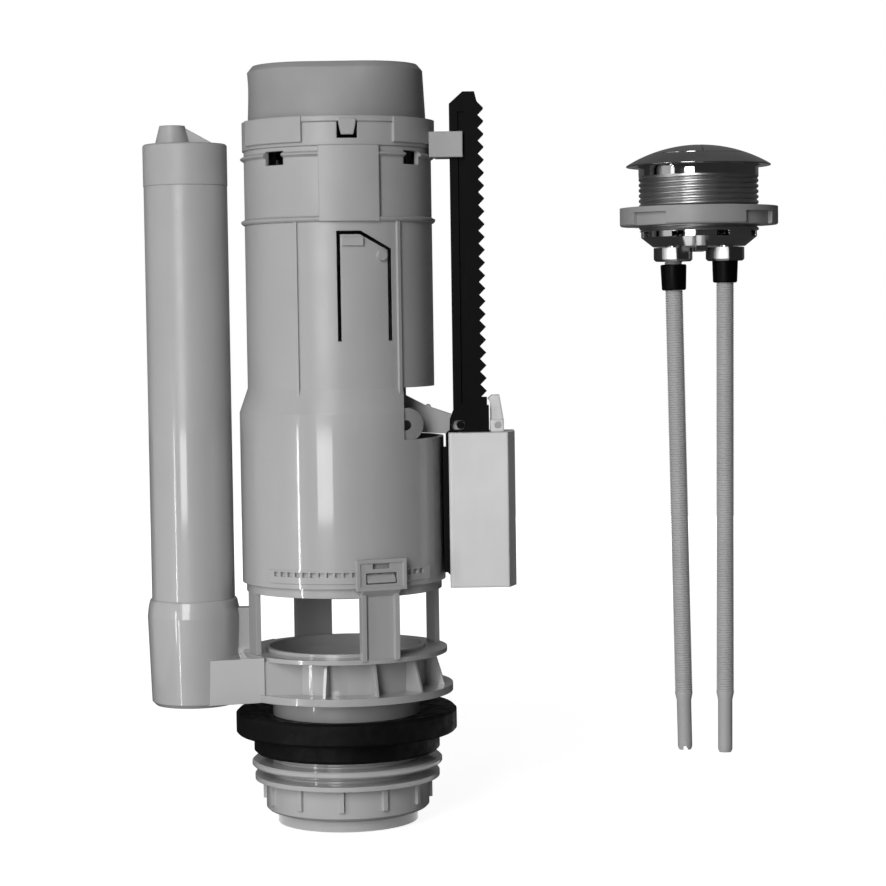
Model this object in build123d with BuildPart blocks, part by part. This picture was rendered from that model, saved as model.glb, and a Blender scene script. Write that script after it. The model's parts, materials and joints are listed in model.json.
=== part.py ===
from build123d import *

import os
from math import asin, cos, degrees, radians, sin, sqrt

# Dual-flush drop valve with overflow tube, half-flush float and a two-part push-button unit.
# Millimetres. The origin is on the valve's axis at the lower end of its tail, +Z is up and the
# front faces -Y. Azimuths are counted from the front, growing to the right.

os.makedirs("parts", exist_ok=True)

# Clearances
press_gap = 0.02
running_gap = 0.06
seat_gap = 0.2
slip_gap = 0.3
guide_gap = 0.4

# Tail, flanges and seat of the base
tail_length = 52.5
tail_diameter = 60.0
tail_bore = 52.0
spigot_diameter = 57.0
spigot_length = 5.0
lower_flange_diameter = 87.2
lower_flange_thickness = 2.9
flange_gap = 13.1
upper_flange_diameter = 82.8
upper_flange_thickness = 1.8
flange_core_diameter = 66.0
seat_diameter = 65.0
seat_width = 1.75
seat_rise = 1.3
fin_count = 8
fin_first_azimuth = -10.0
fin_step = 30.0
fin_thickness = 1.2
fin_top_setback = 4.4
fin_foot_setback = 2.6

# Legs that carry the canister
leg_azimuth = 22.0
leg_width = 15.8
side_leg_width = 9.5
leg_thickness = 2.0
leg_rib_width = 2.0
leg_rib_rise = 1.2
window_height = 24.3
cage_ring_diameter = 79.2
cage_ring_wall = 2.4
cage_ring_height = 3.7
snap_head_width = 20.8
snap_head_height = 11.6
snap_head_thickness = 2.0
snap_shelf_drop = 0.6
snap_border = 1.5
snap_panel_depth = 0.4
snap_window_width = 12.9
snap_window_height = 4.4
snap_window_rise = 1.9
snap_slot_width = 7.2
snap_slot_height = 2.0

# Duct, overflow socket, tube and cap
overflow_offset = 61.5
overflow_tube_diameter = 33.6
overflow_tube_wall = 1.8
overflow_tube_top = 258.0
overflow_socket_depth = 18.0
socket_top_diameter = 37.4
socket_taper = 1.2
socket_shoulder_height = 6.8
socket_floor_height = 48.3
socket_rim_height = 91.3
duct_near_height = 18.2
duct_near_half_width = 11.6
duct_end_offset = 31.0
duct_end_half_width = 29.5
duct_root_offset = 16.0
duct_root_half_width = 28.8
duct_wall = 2.2
web_thickness = 3.0
web_height = 20.0
cap_diameter = 33.9
cap_height = 16.7
cap_spigot_length = 5.0
nozzle_offset = 4.9
nozzle_base_diameter = 14.2
nozzle_tip_diameter = 10.2
nozzle_height = 7.6
nozzle_fin_reach = 12.3
nozzle_bore = 4.0

# Gasket, washer and nut on the tail
gasket_bottom = 28.6
gasket_neck_diameter = 75.6
gasket_neck_height = 7.9
gasket_flange_diameter = 89.8
gasket_flange_thickness = 9.4
gasket_dish_depth = 1.9
washer_bottom = 23.0
washer_diameter = 77.4
washer_thickness = 2.6
nut_bottom = 5.4
nut_body_height = 12.3
nut_body_diameter = 66.4
nut_flange_diameter = 75.2
nut_flange_thickness = 1.9
nut_rib_count = 12
nut_rib_rise = 1.3
nut_rib_width = 2.0
nut_rib_length = 9.0

# Canister
front_azimuth = 9.0
body_diameter = 82.4
body_height = 68.4
shoulder_height = 9.7
barrel_diameter = 75.5
barrel_height = 65.3
canister_wall = 2.0
spigot_overlap = 5.0
scale_rise = 0.35
scale_bottom_rise = 2.0
scale_height = 5.3
scale_start_azimuth = -43.5
scale_arc = 101.5
notch_margin_angle = 5.8
notch_pitch_angle = 4.6
notch_width = 2.3
notch_height = 1.8
notch_depth = 1.2
rib_half_spread = 32.0
rib_width = 1.6
rib_rise = 0.9
lug_width = 11.6
lug_rise = 2.0
tongue_slot_width = 1.4
tongue_left_azimuth = 1.0
tongue_right_azimuth = 35.0
tongue_height = 43.0
tongue_top_drop = 3.7
tongue_corner_drop = 7.0
stop_tab_width = 8.4
stop_tab_height = 3.2
pip_diameter = 4.2
guide_ring_diameter = 19.0
guide_ring_drop = 20.0
guide_ring_height = 8.0
guide_arm_width = 7.0

# Opening in the canister for the float arm, and the arm itself
float_plane_offset = 7.0
opening_left = 25.8
opening_bottom_drop = 10.7
pivot_x = 26.5
pivot_height = 161.6
pivot_boss_diameter = 13.6
pivot_pin_diameter = 4.0
pivot_pin_length = 27.0
arm_thickness = 6.0
arm_hub_diameter = 10.6
arm_hub_width = 13.0
rack_pin_x = 48.0
rack_pin_height = 160.6
rack_pin_diameter = 3.0
float_travel = 10.0

# Rack, float box and pawl
rack_left = 45.2
rack_root = 56.3
rack_tip = 58.8
rack_top = 293.5
rack_bottom = 99.5
rack_foot_left = 42.0
rack_foot_right = 59.5
rack_foot_top = 157.2
rack_thickness = 9.0
rack_foot_thickness = 12.0
rack_web_left = 40.8
rack_web_thickness = 3.0
rack_web_top = 152.0
rack_groove_width = 2.4
rack_groove_depth = 0.9
tooth_pitch = 5.13
tooth_count = 23
rack_nose_height = 4.0
float_left = 43.1
float_right = 69.7
float_front_right = 66.7
float_bottom = 96.0
float_height = 61.8
float_depth = 24.6
float_front_reach = 13.2
float_bevel_depth = 9.0
float_wall = 1.6
setting_steps = 19
pawl_right = 65.4
pawl_height = 14.6
pawl_width = 7.0
pawl_pin_diameter = 2.4

# Head housing, collar and cup
head_height = 29.5
head_diameter = 75.4
head_wall = 2.0
head_ring_rise = 1.4
head_ring_height = 2.2
head_ring_drop = 2.0
panel_half_angle = 17.8
panel_rise = 1.5
head_window_azimuth = 46.0
head_window_shift = -2.0
head_window_width = 9.4
head_window_height = 5.4
collar_height = 11.4
collar_diameter = 76.6
collar_wall = 2.1
pad_rise = 1.1
pad_lift = 1.4
pad_start_angle = 27.6
pad_end_angle = 75.0
back_pad_end_angle = 62.0
collar_band_height = 2.2
latch_width = 8.0
latch_height = 6.5
hook_width = 6.6
hook_height = 5.2
guide_reach = 50.4
guide_height = 10.2
guide_bottom = 267.4
guide_width = 14.0
cup_height = 21.4
cup_base_diameter = 71.6
cup_width = 69.6
cup_depth = 72.6
cup_corner_radius = 24.0
cup_rim_height = 2.4
cup_rim_inset = 2.0
cup_mouth_diameter = 63.2
cup_wall = 1.8
cup_floor_thickness = 2.0
well_diameter = 13.0
well_depth = 10.0
well_wall = 1.2
pad_center_offset = 14.0

# Lifting gear
plunger_travel = 23.4
stem_diameter = 13.0
stem_wall = 1.6
collar_disc_diameter = 26.0
collar_disc_thickness = 3.0
seal_outer_diameter = 69.6
seal_inner_diameter = 46.0
seal_thickness = 2.8
carrier_thickness = 3.0
retainer_thickness = 2.2
retainer_diameter = 44.0
plunger_float_diameter = 66.0
plunger_float_height = 38.0
plunger_float_rise = 9.0
plunger_float_wall = 1.5
lever_pivot_x = -18.0
lever_pivot_rise = 12.3
lever_inner_reach = 25.0
lever_outer_reach = 10.5
lever_swing = 55.8
lever_hub_diameter = 8.0
lever_hub_width = 23.0
lever_tip_diameter = 4.0
prong_gap = 15.6
prong_thickness = 3.2
lever_pin_diameter = 3.0
lever_ear_thickness = 2.6
lever_ear_drop = 6.8
lever_ear_radius = 4.2
pad_diameter = 64.8
pad_split = 1.4
pad_thickness = 2.4
pad_rim_drop = 1.4
pad_foot_diameter = 5.2
pad_post_diameter = 6.0
spring_wire = 1.1
spring_turns = 4
trip_rod_x = 28.0
trip_rod_diameter = 4.4
trip_rod_bottom = 183.0

# Push-button unit, which stands beside the valve
button_x = 145.5
rim_height = 263.0
bezel_diameter = 58.2
dome_rise = 8.2
rim_thickness = 0.5
button_diameter = 39.8
button_gap = 0.3
button_split = 0.8
neck_diameter = 48.2
neck_bore = 44.4
neck_length = 26.0
button_shell = 2.0
button_skirt_drop = 4.0
button_travel = 5.0
button_nut_diameter = 63.6
button_nut_drop = 23.8
button_nut_height = 7.3
button_nut_flange = 2.3
button_nut_cone_rise = 0.4
lobe_depth = 1.8
lobe_recess_angle = 30.0
cage_top_diameter = 46.6
cage_foot_diameter = 37.2
cage_drop = 32.2
cage_wall = 1.8
cage_slot_count = 8
cage_slot_width = 5.2
cage_slot_height = 2.2
cage_bar_length = 20.0
cage_bar_drop = 1.9
stem_spacing = 21.0
button_stem_diameter = 6.8
spring_flange_diameter = 12.0
spring_flange_drop = 7.0
socket_across = 15.2
socket_height = 5.5
socket_drop = 38.1
socket_chamfer = 0.8
sleeve_diameter = 10.5
sleeve_taper = 0.35
sleeve_length = 10.4
sleeve_drops = {"full": 2.8, "half": 0.0}
rod_diameter = 7.2
rod_tip_diameter = 5.9
rod_top_rise = 4.2
rod_thread_length = 179.6
rod_taper_length = 3.0
rod_lengths = {"full": 202.8, "half": 204.1}
rod_leans = {"full": -0.83, "half": 0.48}
tip_notch_width = 1.8
tip_notch_depth = 1.6

# Heights up the valve, each from the piece below it
lower_flange_top = tail_length + lower_flange_thickness
upper_flange_bottom = lower_flange_top + flange_gap
upper_flange_top = upper_flange_bottom + upper_flange_thickness
seat_top = upper_flange_top + seat_rise
cage_ring_bottom = upper_flange_top + window_height
body_bottom = cage_ring_bottom + cage_ring_height
shoulder_bottom = body_bottom + body_height
shoulder_top = shoulder_bottom + shoulder_height
barrel_top = shoulder_top + barrel_height
head_top = barrel_top + head_height
collar_top = head_top + collar_height
cup_floor_top = collar_top + cup_floor_thickness
cup_top = collar_top + cup_height

# Radii and places that several pieces share
tail_radius = tail_diameter / 2
body_radius = body_diameter / 2
barrel_radius = barrel_diameter / 2
head_radius = head_diameter / 2
collar_radius = collar_diameter / 2
skirt_radius = collar_radius - collar_wall - seat_gap
leg_inner_radius = cage_ring_diameter / 2 - 1.0
leg_outer_radius = leg_inner_radius + leg_thickness
snap_radius = body_radius + scale_rise + seat_gap
stem_radius = stem_diameter / 2
half_swing = lever_swing / 2
lever_pivot_height = barrel_top + lever_pivot_rise
toe_height = lever_pivot_height + lever_inner_reach * sin(radians(half_swing))
foot_x = lever_pivot_x - lever_outer_reach * cos(radians(half_swing))
foot_height = lever_pivot_height - lever_outer_reach * sin(radians(half_swing))
pad_travel = 2 * lever_outer_reach * sin(radians(half_swing))
collar_disc_bottom = toe_height + lever_tip_diameter / 2 + guide_gap
stem_top = collar_disc_bottom + collar_disc_thickness + 1.5
seal_bottom = seat_top + seat_gap + plunger_travel
carrier_bottom = seal_bottom + seal_thickness
float_y = -float_plane_offset
setting_travel = setting_steps * tooth_pitch
pad_low = cup_floor_top + slip_gap
pad_high = pad_low + pad_travel
well_floor = collar_top - well_depth + well_wall
latch_azimuth = front_azimuth - 0.8
latch_top = collar_top - collar_band_height
neck_bottom = rim_height - neck_length
button_skirt_bottom = rim_height - button_skirt_drop
button_nut_bottom = rim_height - button_nut_drop
cage_bottom = rim_height - cage_drop
spring_flange_height = rim_height - spring_flange_drop
socket_bottom = rim_height - socket_drop


def outward(azimuth):
    """Level unit vector that points away from the axis at an azimuth."""
    turn = radians(azimuth - 90)
    return Vector(cos(turn), sin(turn), 0)


def radial_plane(azimuth):
    """Upright plane through the axis, with +x outward at an azimuth."""
    return Plane(origin=(0, 0, 0), x_dir=outward(azimuth), z_dir=outward(azimuth).cross(Vector(0, 0, 1)))


def facing_plane(azimuth, radius):
    """Upright plane square to an azimuth at a radius, with +x to the viewer's right."""
    direction = outward(azimuth)
    return Plane(origin=direction * radius, x_dir=Vector(0, 0, 1).cross(direction), z_dir=direction)


def closed_face(points, plane=Plane.XZ):
    """Face inside a closed run of straight lines."""
    with BuildSketch(plane) as section:
        with BuildLine():
            Polyline(*points, close=True)
        make_face()
    return section.sketch


def ring_face(inner, outer, low, high, plane=Plane.XZ):
    """Rectangular section of a ring, ready to be turned."""
    return closed_face([(inner, low), (outer, low), (outer, high), (inner, high)], plane)


def coil(low, high, mean_radius, center):
    """Compression spring with a square wire, from its lower to its upper end face."""
    rise = high - low - spring_wire
    path = Helix(
        pitch=rise / spring_turns,
        height=rise,
        radius=mean_radius,
        center=(center[0], center[1], low + spring_wire / 2),
        mode=Mode.PRIVATE,
    )
    with BuildSketch(Plane(origin=path @ 0, x_dir=(1, 0, 0), z_dir=path % 0)) as section:
        Rectangle(spring_wire, spring_wire)
    return sweep(section.sketch, path=path, is_frenet=True, mode=Mode.PRIVATE)


# Base with tail, seat, legs, duct and overflow socket
socket_axis = Axis((-overflow_offset, 0, 0), (0, 0, 1))
socket_plane = Plane(origin=(-overflow_offset, 0, 0), x_dir=(1, 0, 0), z_dir=(0, -1, 0))
tube_radius = overflow_tube_diameter / 2
socket_radius = socket_top_diameter / 2
tube_bottom = socket_rim_height - overflow_socket_depth

with BuildPart() as duct_root:
    with Locations((-duct_end_offset - 0.5, 0, lower_flange_top - 0.1)):
        Box(
            duct_end_offset + 0.5 - duct_root_offset,
            2 * duct_root_half_width,
            flange_gap + 0.2,
            align=(Align.MIN, Align.CENTER, Align.MIN),
        )
    Cylinder(flange_core_diameter / 2 - 0.5, 4 * tail_length, mode=Mode.SUBTRACT)

with BuildPart() as outlet_base:
    with BuildSketch(Plane.XZ):
        with BuildLine():
            Polyline(
                (tail_bore / 2, 0),
                (spigot_diameter / 2, 0),
                (spigot_diameter / 2, spigot_length),
                (tail_radius, spigot_length + (tail_diameter - spigot_diameter) / 2),
                (tail_radius, tail_length),
                (lower_flange_diameter / 2, tail_length),
                (lower_flange_diameter / 2, lower_flange_top),
                (flange_core_diameter / 2, lower_flange_top),
                (flange_core_diameter / 2, upper_flange_bottom),
                (upper_flange_diameter / 2, upper_flange_bottom),
                (upper_flange_diameter / 2, upper_flange_top),
                (seat_diameter / 2, upper_flange_top),
                (seat_diameter / 2, seat_top),
                (seat_diameter / 2 - seat_width, seat_top),
                (seat_diameter / 2 - seat_width, upper_flange_bottom - 1.5),
                (tail_bore / 2, lower_flange_top),
                close=True,
            )
        make_face()
    revolve(axis=Axis.Z)

    # Fins between the flanges, wider at their foot, everywhere but on the duct's side
    fin_root = flange_core_diameter / 2 - 0.5
    fin_top_reach = upper_flange_diameter / 2 - fin_top_setback
    fin_foot_reach = lower_flange_diameter / 2 - fin_foot_setback
    for index in range(fin_count):
        with BuildSketch(radial_plane(fin_first_azimuth + index * fin_step)):
            with BuildLine():
                Polyline(
                    (fin_root, lower_flange_top - 0.1),
                    (fin_foot_reach, lower_flange_top - 0.1),
                    (fin_top_reach, upper_flange_bottom + 0.1),
                    (fin_root, upper_flange_bottom + 0.1),
                    close=True,
                )
            make_face()
        extrude(amount=fin_thickness / 2, both=True)

    # Ring at the top of the legs, on which the canister stands
    ring_radius = cage_ring_diameter / 2
    revolve(ring_face(ring_radius - cage_ring_wall, ring_radius, cage_ring_bottom, body_bottom), Axis.Z)

    # Plain legs to the left and right
    leg_base = upper_flange_top - 0.5
    for azimuth in (leg_azimuth + 90, leg_azimuth - 90):
        with BuildSketch(facing_plane(azimuth, ring_radius - cage_ring_wall + 0.2)):
            with Locations((0, leg_base)):
                Rectangle(
                    side_leg_width,
                    cage_ring_bottom + 0.5 - leg_base,
                    align=(Align.CENTER, Align.MIN),
                )
        extrude(amount=leg_thickness)

    # Ribbed legs at the front and back, flared under their snap heads
    half_leg = leg_width / 2
    half_head = snap_head_width / 2
    shelf_top = body_bottom - seat_gap
    shelf_bottom = body_bottom - snap_shelf_drop
    flare_bottom = shelf_bottom - 5.0
    head_top_edge = body_bottom + snap_head_height
    head_face_radius = snap_radius + snap_head_thickness
    for azimuth in (leg_azimuth, leg_azimuth + 180):
        with BuildSketch(facing_plane(azimuth, leg_inner_radius)):
            with BuildLine():
                right_flare = ThreePointArc(
                    (half_leg, flare_bottom),
                    (half_leg + 0.5, flare_bottom + 3.2),
                    (half_head, shelf_bottom),
                )
                left_flare = ThreePointArc(
                    (-half_head, shelf_bottom),
                    (-half_leg - 0.5, flare_bottom + 3.2),
                    (-half_leg, flare_bottom),
                )
                Polyline(
                    right_flare @ 1,
                    (half_head, shelf_top),
                    (-half_head, shelf_top),
                    left_flare @ 0,
                )
                Polyline(
                    left_flare @ 1,
                    (-half_leg, leg_base),
                    (half_leg, leg_base),
                    right_flare @ 0,
                )
            make_face()
        extrude(amount=leg_thickness)

        # Stiffening ribs along both edges of the stem
        rib_middle = half_leg - leg_rib_width / 2
        with BuildSketch(facing_plane(azimuth, leg_inner_radius)):
            with Locations((-rib_middle, leg_base), (rib_middle, leg_base)):
                Rectangle(leg_rib_width, shelf_bottom - leg_base, align=(Align.CENTER, Align.MIN))
        extrude(amount=leg_thickness + leg_rib_rise)

        # Sloping shelf that carries the snap head
        shelf = extrude(
            closed_face(
                [
                    (leg_inner_radius, shelf_bottom - 2.6),
                    (leg_outer_radius, shelf_bottom - 2.6),
                    (head_face_radius, shelf_bottom),
                    (head_face_radius, shelf_top),
                    (leg_inner_radius, shelf_top),
                ],
                radial_plane(azimuth),
            ),
            amount=half_leg,
            both=True,
            mode=Mode.PRIVATE,
        )
        add(shelf)

        # Snap head outside the canister, with a sunk panel, a window and a slot
        with BuildSketch(facing_plane(azimuth, snap_radius)):
            with Locations((0, shelf_bottom)):
                Rectangle(
                    snap_head_width,
                    head_top_edge - shelf_bottom,
                    align=(Align.CENTER, Align.MIN),
                )
        extrude(amount=snap_head_thickness)
        with BuildSketch(facing_plane(azimuth, head_face_radius - snap_panel_depth)):
            with Locations((0, shelf_bottom + snap_border)):
                Rectangle(
                    snap_head_width - 2 * snap_border,
                    head_top_edge - shelf_bottom - 2 * snap_border,
                    align=(Align.CENTER, Align.MIN),
                )
        extrude(amount=2 * snap_panel_depth, mode=Mode.SUBTRACT)
        with BuildSketch(facing_plane(azimuth, snap_radius - seat_gap)):
            with Locations((0, body_bottom + snap_window_rise)):
                Rectangle(
                    snap_window_width,
                    snap_window_height,
                    align=(Align.CENTER, Align.MIN),
                )
            with Locations((0, head_top_edge - snap_border - seat_gap)):
                Rectangle(
                    snap_slot_width,
                    snap_slot_height,
                    align=(Align.CENTER, Align.MAX),
                )
        extrude(amount=2 * snap_head_thickness, mode=Mode.SUBTRACT)

    # Duct from the overflow socket to the space under the seat
    duct_center = socket_floor_height + duct_near_height / 2
    duct_far_low = tail_length
    duct_far_high = upper_flange_top
    with BuildSketch(Plane.YZ.offset(-overflow_offset)):
        with Locations((0, duct_center)):
            Rectangle(2 * duct_near_half_width, duct_near_height)
    with BuildSketch(Plane.YZ.offset(-duct_end_offset)):
        with Locations((0, (duct_far_low + duct_far_high) / 2)):
            Rectangle(2 * duct_end_half_width, duct_far_high - duct_far_low)
    loft(ruled=True)

    # Root of the duct, which fills the space between the flanges up to their core
    add(duct_root.part)

    # Overflow socket, narrower towards its floor
    socket_foot_radius = socket_radius - socket_taper
    revolve(
        closed_face(
            [
                (0, socket_floor_height),
                (socket_foot_radius - 1.5, socket_floor_height),
                (socket_foot_radius, socket_floor_height + 1.5),
                (socket_radius, socket_rim_height - socket_shoulder_height),
                (socket_radius - 0.4, socket_rim_height - socket_shoulder_height * 0.5),
                (tube_radius + 0.9, socket_rim_height - 0.5),
                (tube_radius + 0.5, socket_rim_height),
                (0, socket_rim_height),
            ],
            socket_plane,
        ),
        socket_axis,
    )

    # Web from the socket to the nearest leg, below a U-shaped notch
    web_left = -overflow_offset + socket_radius - 1.0
    web_right = -leg_inner_radius + 0.5
    web_low = duct_far_high - 3.0
    with BuildSketch(Plane.XZ):
        with Locations(((web_left + web_right) / 2, web_low)):
            Rectangle(web_right - web_left, web_height, align=(Align.CENTER, Align.MIN))
    extrude(amount=web_thickness, both=True)

    # Socket bore, with a ledge for the tube, and the channel to the outlet
    bore_floor = socket_floor_height + duct_wall
    revolve(
        closed_face(
            [
                (0, bore_floor),
                (tube_radius - 2.0, bore_floor),
                (tube_radius - 2.0, tube_bottom - 2.0),
                (tube_radius + press_gap, tube_bottom),
                (tube_radius + press_gap, socket_rim_height + 0.1),
                (0, socket_rim_height + 0.1),
            ],
            socket_plane,
        ),
        socket_axis,
        mode=Mode.SUBTRACT,
    )
    channel_half = flange_core_diameter / 2 * 0.45
    with BuildSketch(Plane.YZ.offset(-overflow_offset)):
        with Locations((0, bore_floor)):
            Rectangle(
                2 * channel_half * 0.9,
                duct_near_height - 2 * duct_wall,
                align=(Align.CENTER, Align.MIN),
            )
    with BuildSketch(Plane.YZ.offset(-tail_bore / 2 + 4.0)):
        with Locations((0, lower_flange_top)):
            Rectangle(
                2 * channel_half,
                flange_gap - duct_wall,
                align=(Align.CENTER, Align.MIN),
            )
    loft(ruled=True, mode=Mode.SUBTRACT)

outlet_base.part.label = "outlet_base"
export_step(outlet_base.part, "parts/outlet_base.step")


# Rubber gasket on the tail
gasket_bore = tail_radius + press_gap
gasket_neck_top = gasket_bottom + gasket_neck_height
with BuildPart() as tail_gasket:
    revolve(
        closed_face(
            [
                (gasket_bore, gasket_bottom),
                (gasket_neck_diameter / 2 - 1.0, gasket_bottom),
                (gasket_neck_diameter / 2, gasket_bottom + 1.0),
                (gasket_neck_diameter / 2, gasket_neck_top),
                (gasket_flange_diameter / 2 - 0.8, gasket_neck_top),
                (gasket_flange_diameter / 2, gasket_neck_top + 0.8),
                (gasket_flange_diameter / 2, gasket_neck_top + gasket_flange_thickness - 1.2),
                (gasket_flange_diameter / 2 - 1.2, gasket_neck_top + gasket_flange_thickness),
                (gasket_bore, gasket_neck_top + gasket_flange_thickness - gasket_dish_depth),
            ]
        ),
        Axis.Z,
    )
tail_gasket.part.label = "tail_gasket"
export_step(tail_gasket.part, "parts/tail_gasket.step")


with BuildPart() as tail_washer:
    washer_radius = washer_diameter / 2
    revolve(
        closed_face(
            [
                (tail_radius + slip_gap, washer_bottom),
                (washer_radius - 0.7, washer_bottom),
                (washer_radius, washer_bottom + 0.7),
                (washer_radius, washer_bottom + washer_thickness - 0.7),
                (washer_radius - 0.7, washer_bottom + washer_thickness),
                (tail_radius + slip_gap, washer_bottom + washer_thickness),
            ]
        ),
        Axis.Z,
    )
tail_washer.part.label = "tail_washer"
export_step(tail_washer.part, "parts/tail_washer.step")


# Lock nut, a ribbed ring under a thin flange
nut_flange_bottom = nut_bottom + nut_body_height
nut_top = nut_flange_bottom + nut_flange_thickness
with BuildPart() as lock_nut:
    revolve(
        closed_face(
            [
                (tail_radius + running_gap, nut_bottom),
                (nut_body_diameter / 2 - 0.8, nut_bottom),
                (nut_body_diameter / 2, nut_bottom + 0.8),
                (nut_body_diameter / 2, nut_flange_bottom),
                (nut_flange_diameter / 2, nut_flange_bottom),
                (nut_flange_diameter / 2, nut_top),
                (tail_radius + running_gap, nut_top),
            ]
        ),
        Axis.Z,
    )
    nut_rib_middle = nut_body_diameter / 2
    with PolarLocations(nut_rib_middle, nut_rib_count, start_angle=-92):
        with Locations((0, 0, nut_flange_bottom + 0.1)):
            Box(
                2 * nut_rib_rise,
                nut_rib_width,
                nut_rib_length,
                align=(Align.CENTER, Align.CENTER, Align.MAX),
            )
lock_nut.part.label = "lock_nut"
export_step(lock_nut.part, "parts/lock_nut.step")


# Overflow tube and its cap
with BuildPart() as overflow_tube:
    with Locations((-overflow_offset, 0, tube_bottom)):
        Cylinder(
            tube_radius,
            overflow_tube_top - tube_bottom,
            align=(Align.CENTER, Align.CENTER, Align.MIN),
        )
        Cylinder(
            tube_radius - overflow_tube_wall,
            overflow_tube_top - tube_bottom,
            align=(Align.CENTER, Align.CENTER, Align.MIN),
            mode=Mode.SUBTRACT,
        )
overflow_tube.part.label = "overflow_tube"
export_step(overflow_tube.part, "parts/overflow_tube.step")

cap_radius = cap_diameter / 2
cap_top = overflow_tube_top + cap_height
nozzle_x = -overflow_offset - nozzle_offset
nozzle_axis = Axis((nozzle_x, 0, 0), (0, 0, 1))
nozzle_plane = Plane(origin=(nozzle_x, 0, 0), x_dir=(1, 0, 0), z_dir=(0, -1, 0))
with BuildPart() as overflow_cap:
    cap_spigot_radius = tube_radius - overflow_tube_wall - press_gap
    revolve(
        closed_face(
            [
                (0, cap_top - 2.0),
                (cap_spigot_radius - 1.6, cap_top - 2.0),
                (cap_spigot_radius - 1.6, overflow_tube_top - cap_spigot_length),
                (cap_spigot_radius, overflow_tube_top - cap_spigot_length),
                (cap_spigot_radius, overflow_tube_top),
                (cap_radius, overflow_tube_top),
                (cap_radius, cap_top - 0.6),
                (cap_radius - 0.6, cap_top),
                (0, cap_top),
            ],
            socket_plane,
        ),
        socket_axis,
    )
    revolve(
        closed_face(
            [
                (0, cap_top - 1.0),
                (nozzle_base_diameter / 2, cap_top - 1.0),
                (nozzle_base_diameter / 2, cap_top),
                (nozzle_tip_diameter / 2, cap_top + nozzle_height),
                (0, cap_top + nozzle_height),
            ],
            nozzle_plane,
        ),
        nozzle_axis,
    )
    fin_left = nozzle_x + nozzle_tip_diameter / 2 - 1.0
    with BuildSketch(Plane.XZ):
        with BuildLine():
            Polyline(
                (fin_left, cap_top - 0.5),
                (fin_left, cap_top + nozzle_height - 0.8),
                (fin_left + 1.0, cap_top + nozzle_height - 0.8),
                (-overflow_offset + nozzle_fin_reach, cap_top),
                (-overflow_offset + nozzle_fin_reach, cap_top - 0.5),
                close=True,
            )
        make_face()
    extrude(amount=1.1, both=True)
    with Locations((nozzle_x, 0, cap_top - 3.0)):
        Cylinder(
            nozzle_bore / 2,
            nozzle_height + 4.0,
            align=(Align.CENTER, Align.CENTER, Align.MIN),
            mode=Mode.SUBTRACT,
        )
overflow_cap.part.label = "overflow_cap"
export_step(overflow_cap.part, "parts/overflow_cap.step")


# Bosses that carry the float arm's pin, cut to the round of the canister
hub_front = float_y - arm_hub_width / 2 - slip_gap
hub_back = float_y + arm_hub_width / 2 + slip_gap
with BuildPart() as pivot_bosses:
    with BuildSketch(Plane.XZ.offset(-hub_front)):
        with Locations((pivot_x, pivot_height)):
            Circle(pivot_boss_diameter / 2)
            Circle(pivot_pin_diameter / 2 + press_gap, mode=Mode.SUBTRACT)
    extrude(amount=body_radius)
    with BuildSketch(Plane.XZ.offset(-hub_back)):
        with Locations((pivot_x, pivot_height)):
            Circle(pivot_boss_diameter / 2)
            Circle(pivot_pin_diameter / 2 + press_gap, mode=Mode.SUBTRACT)
    extrude(amount=-body_radius)
    Cylinder(body_radius - canister_wall / 2, 2 * barrel_top, mode=Mode.INTERSECT)


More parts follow.
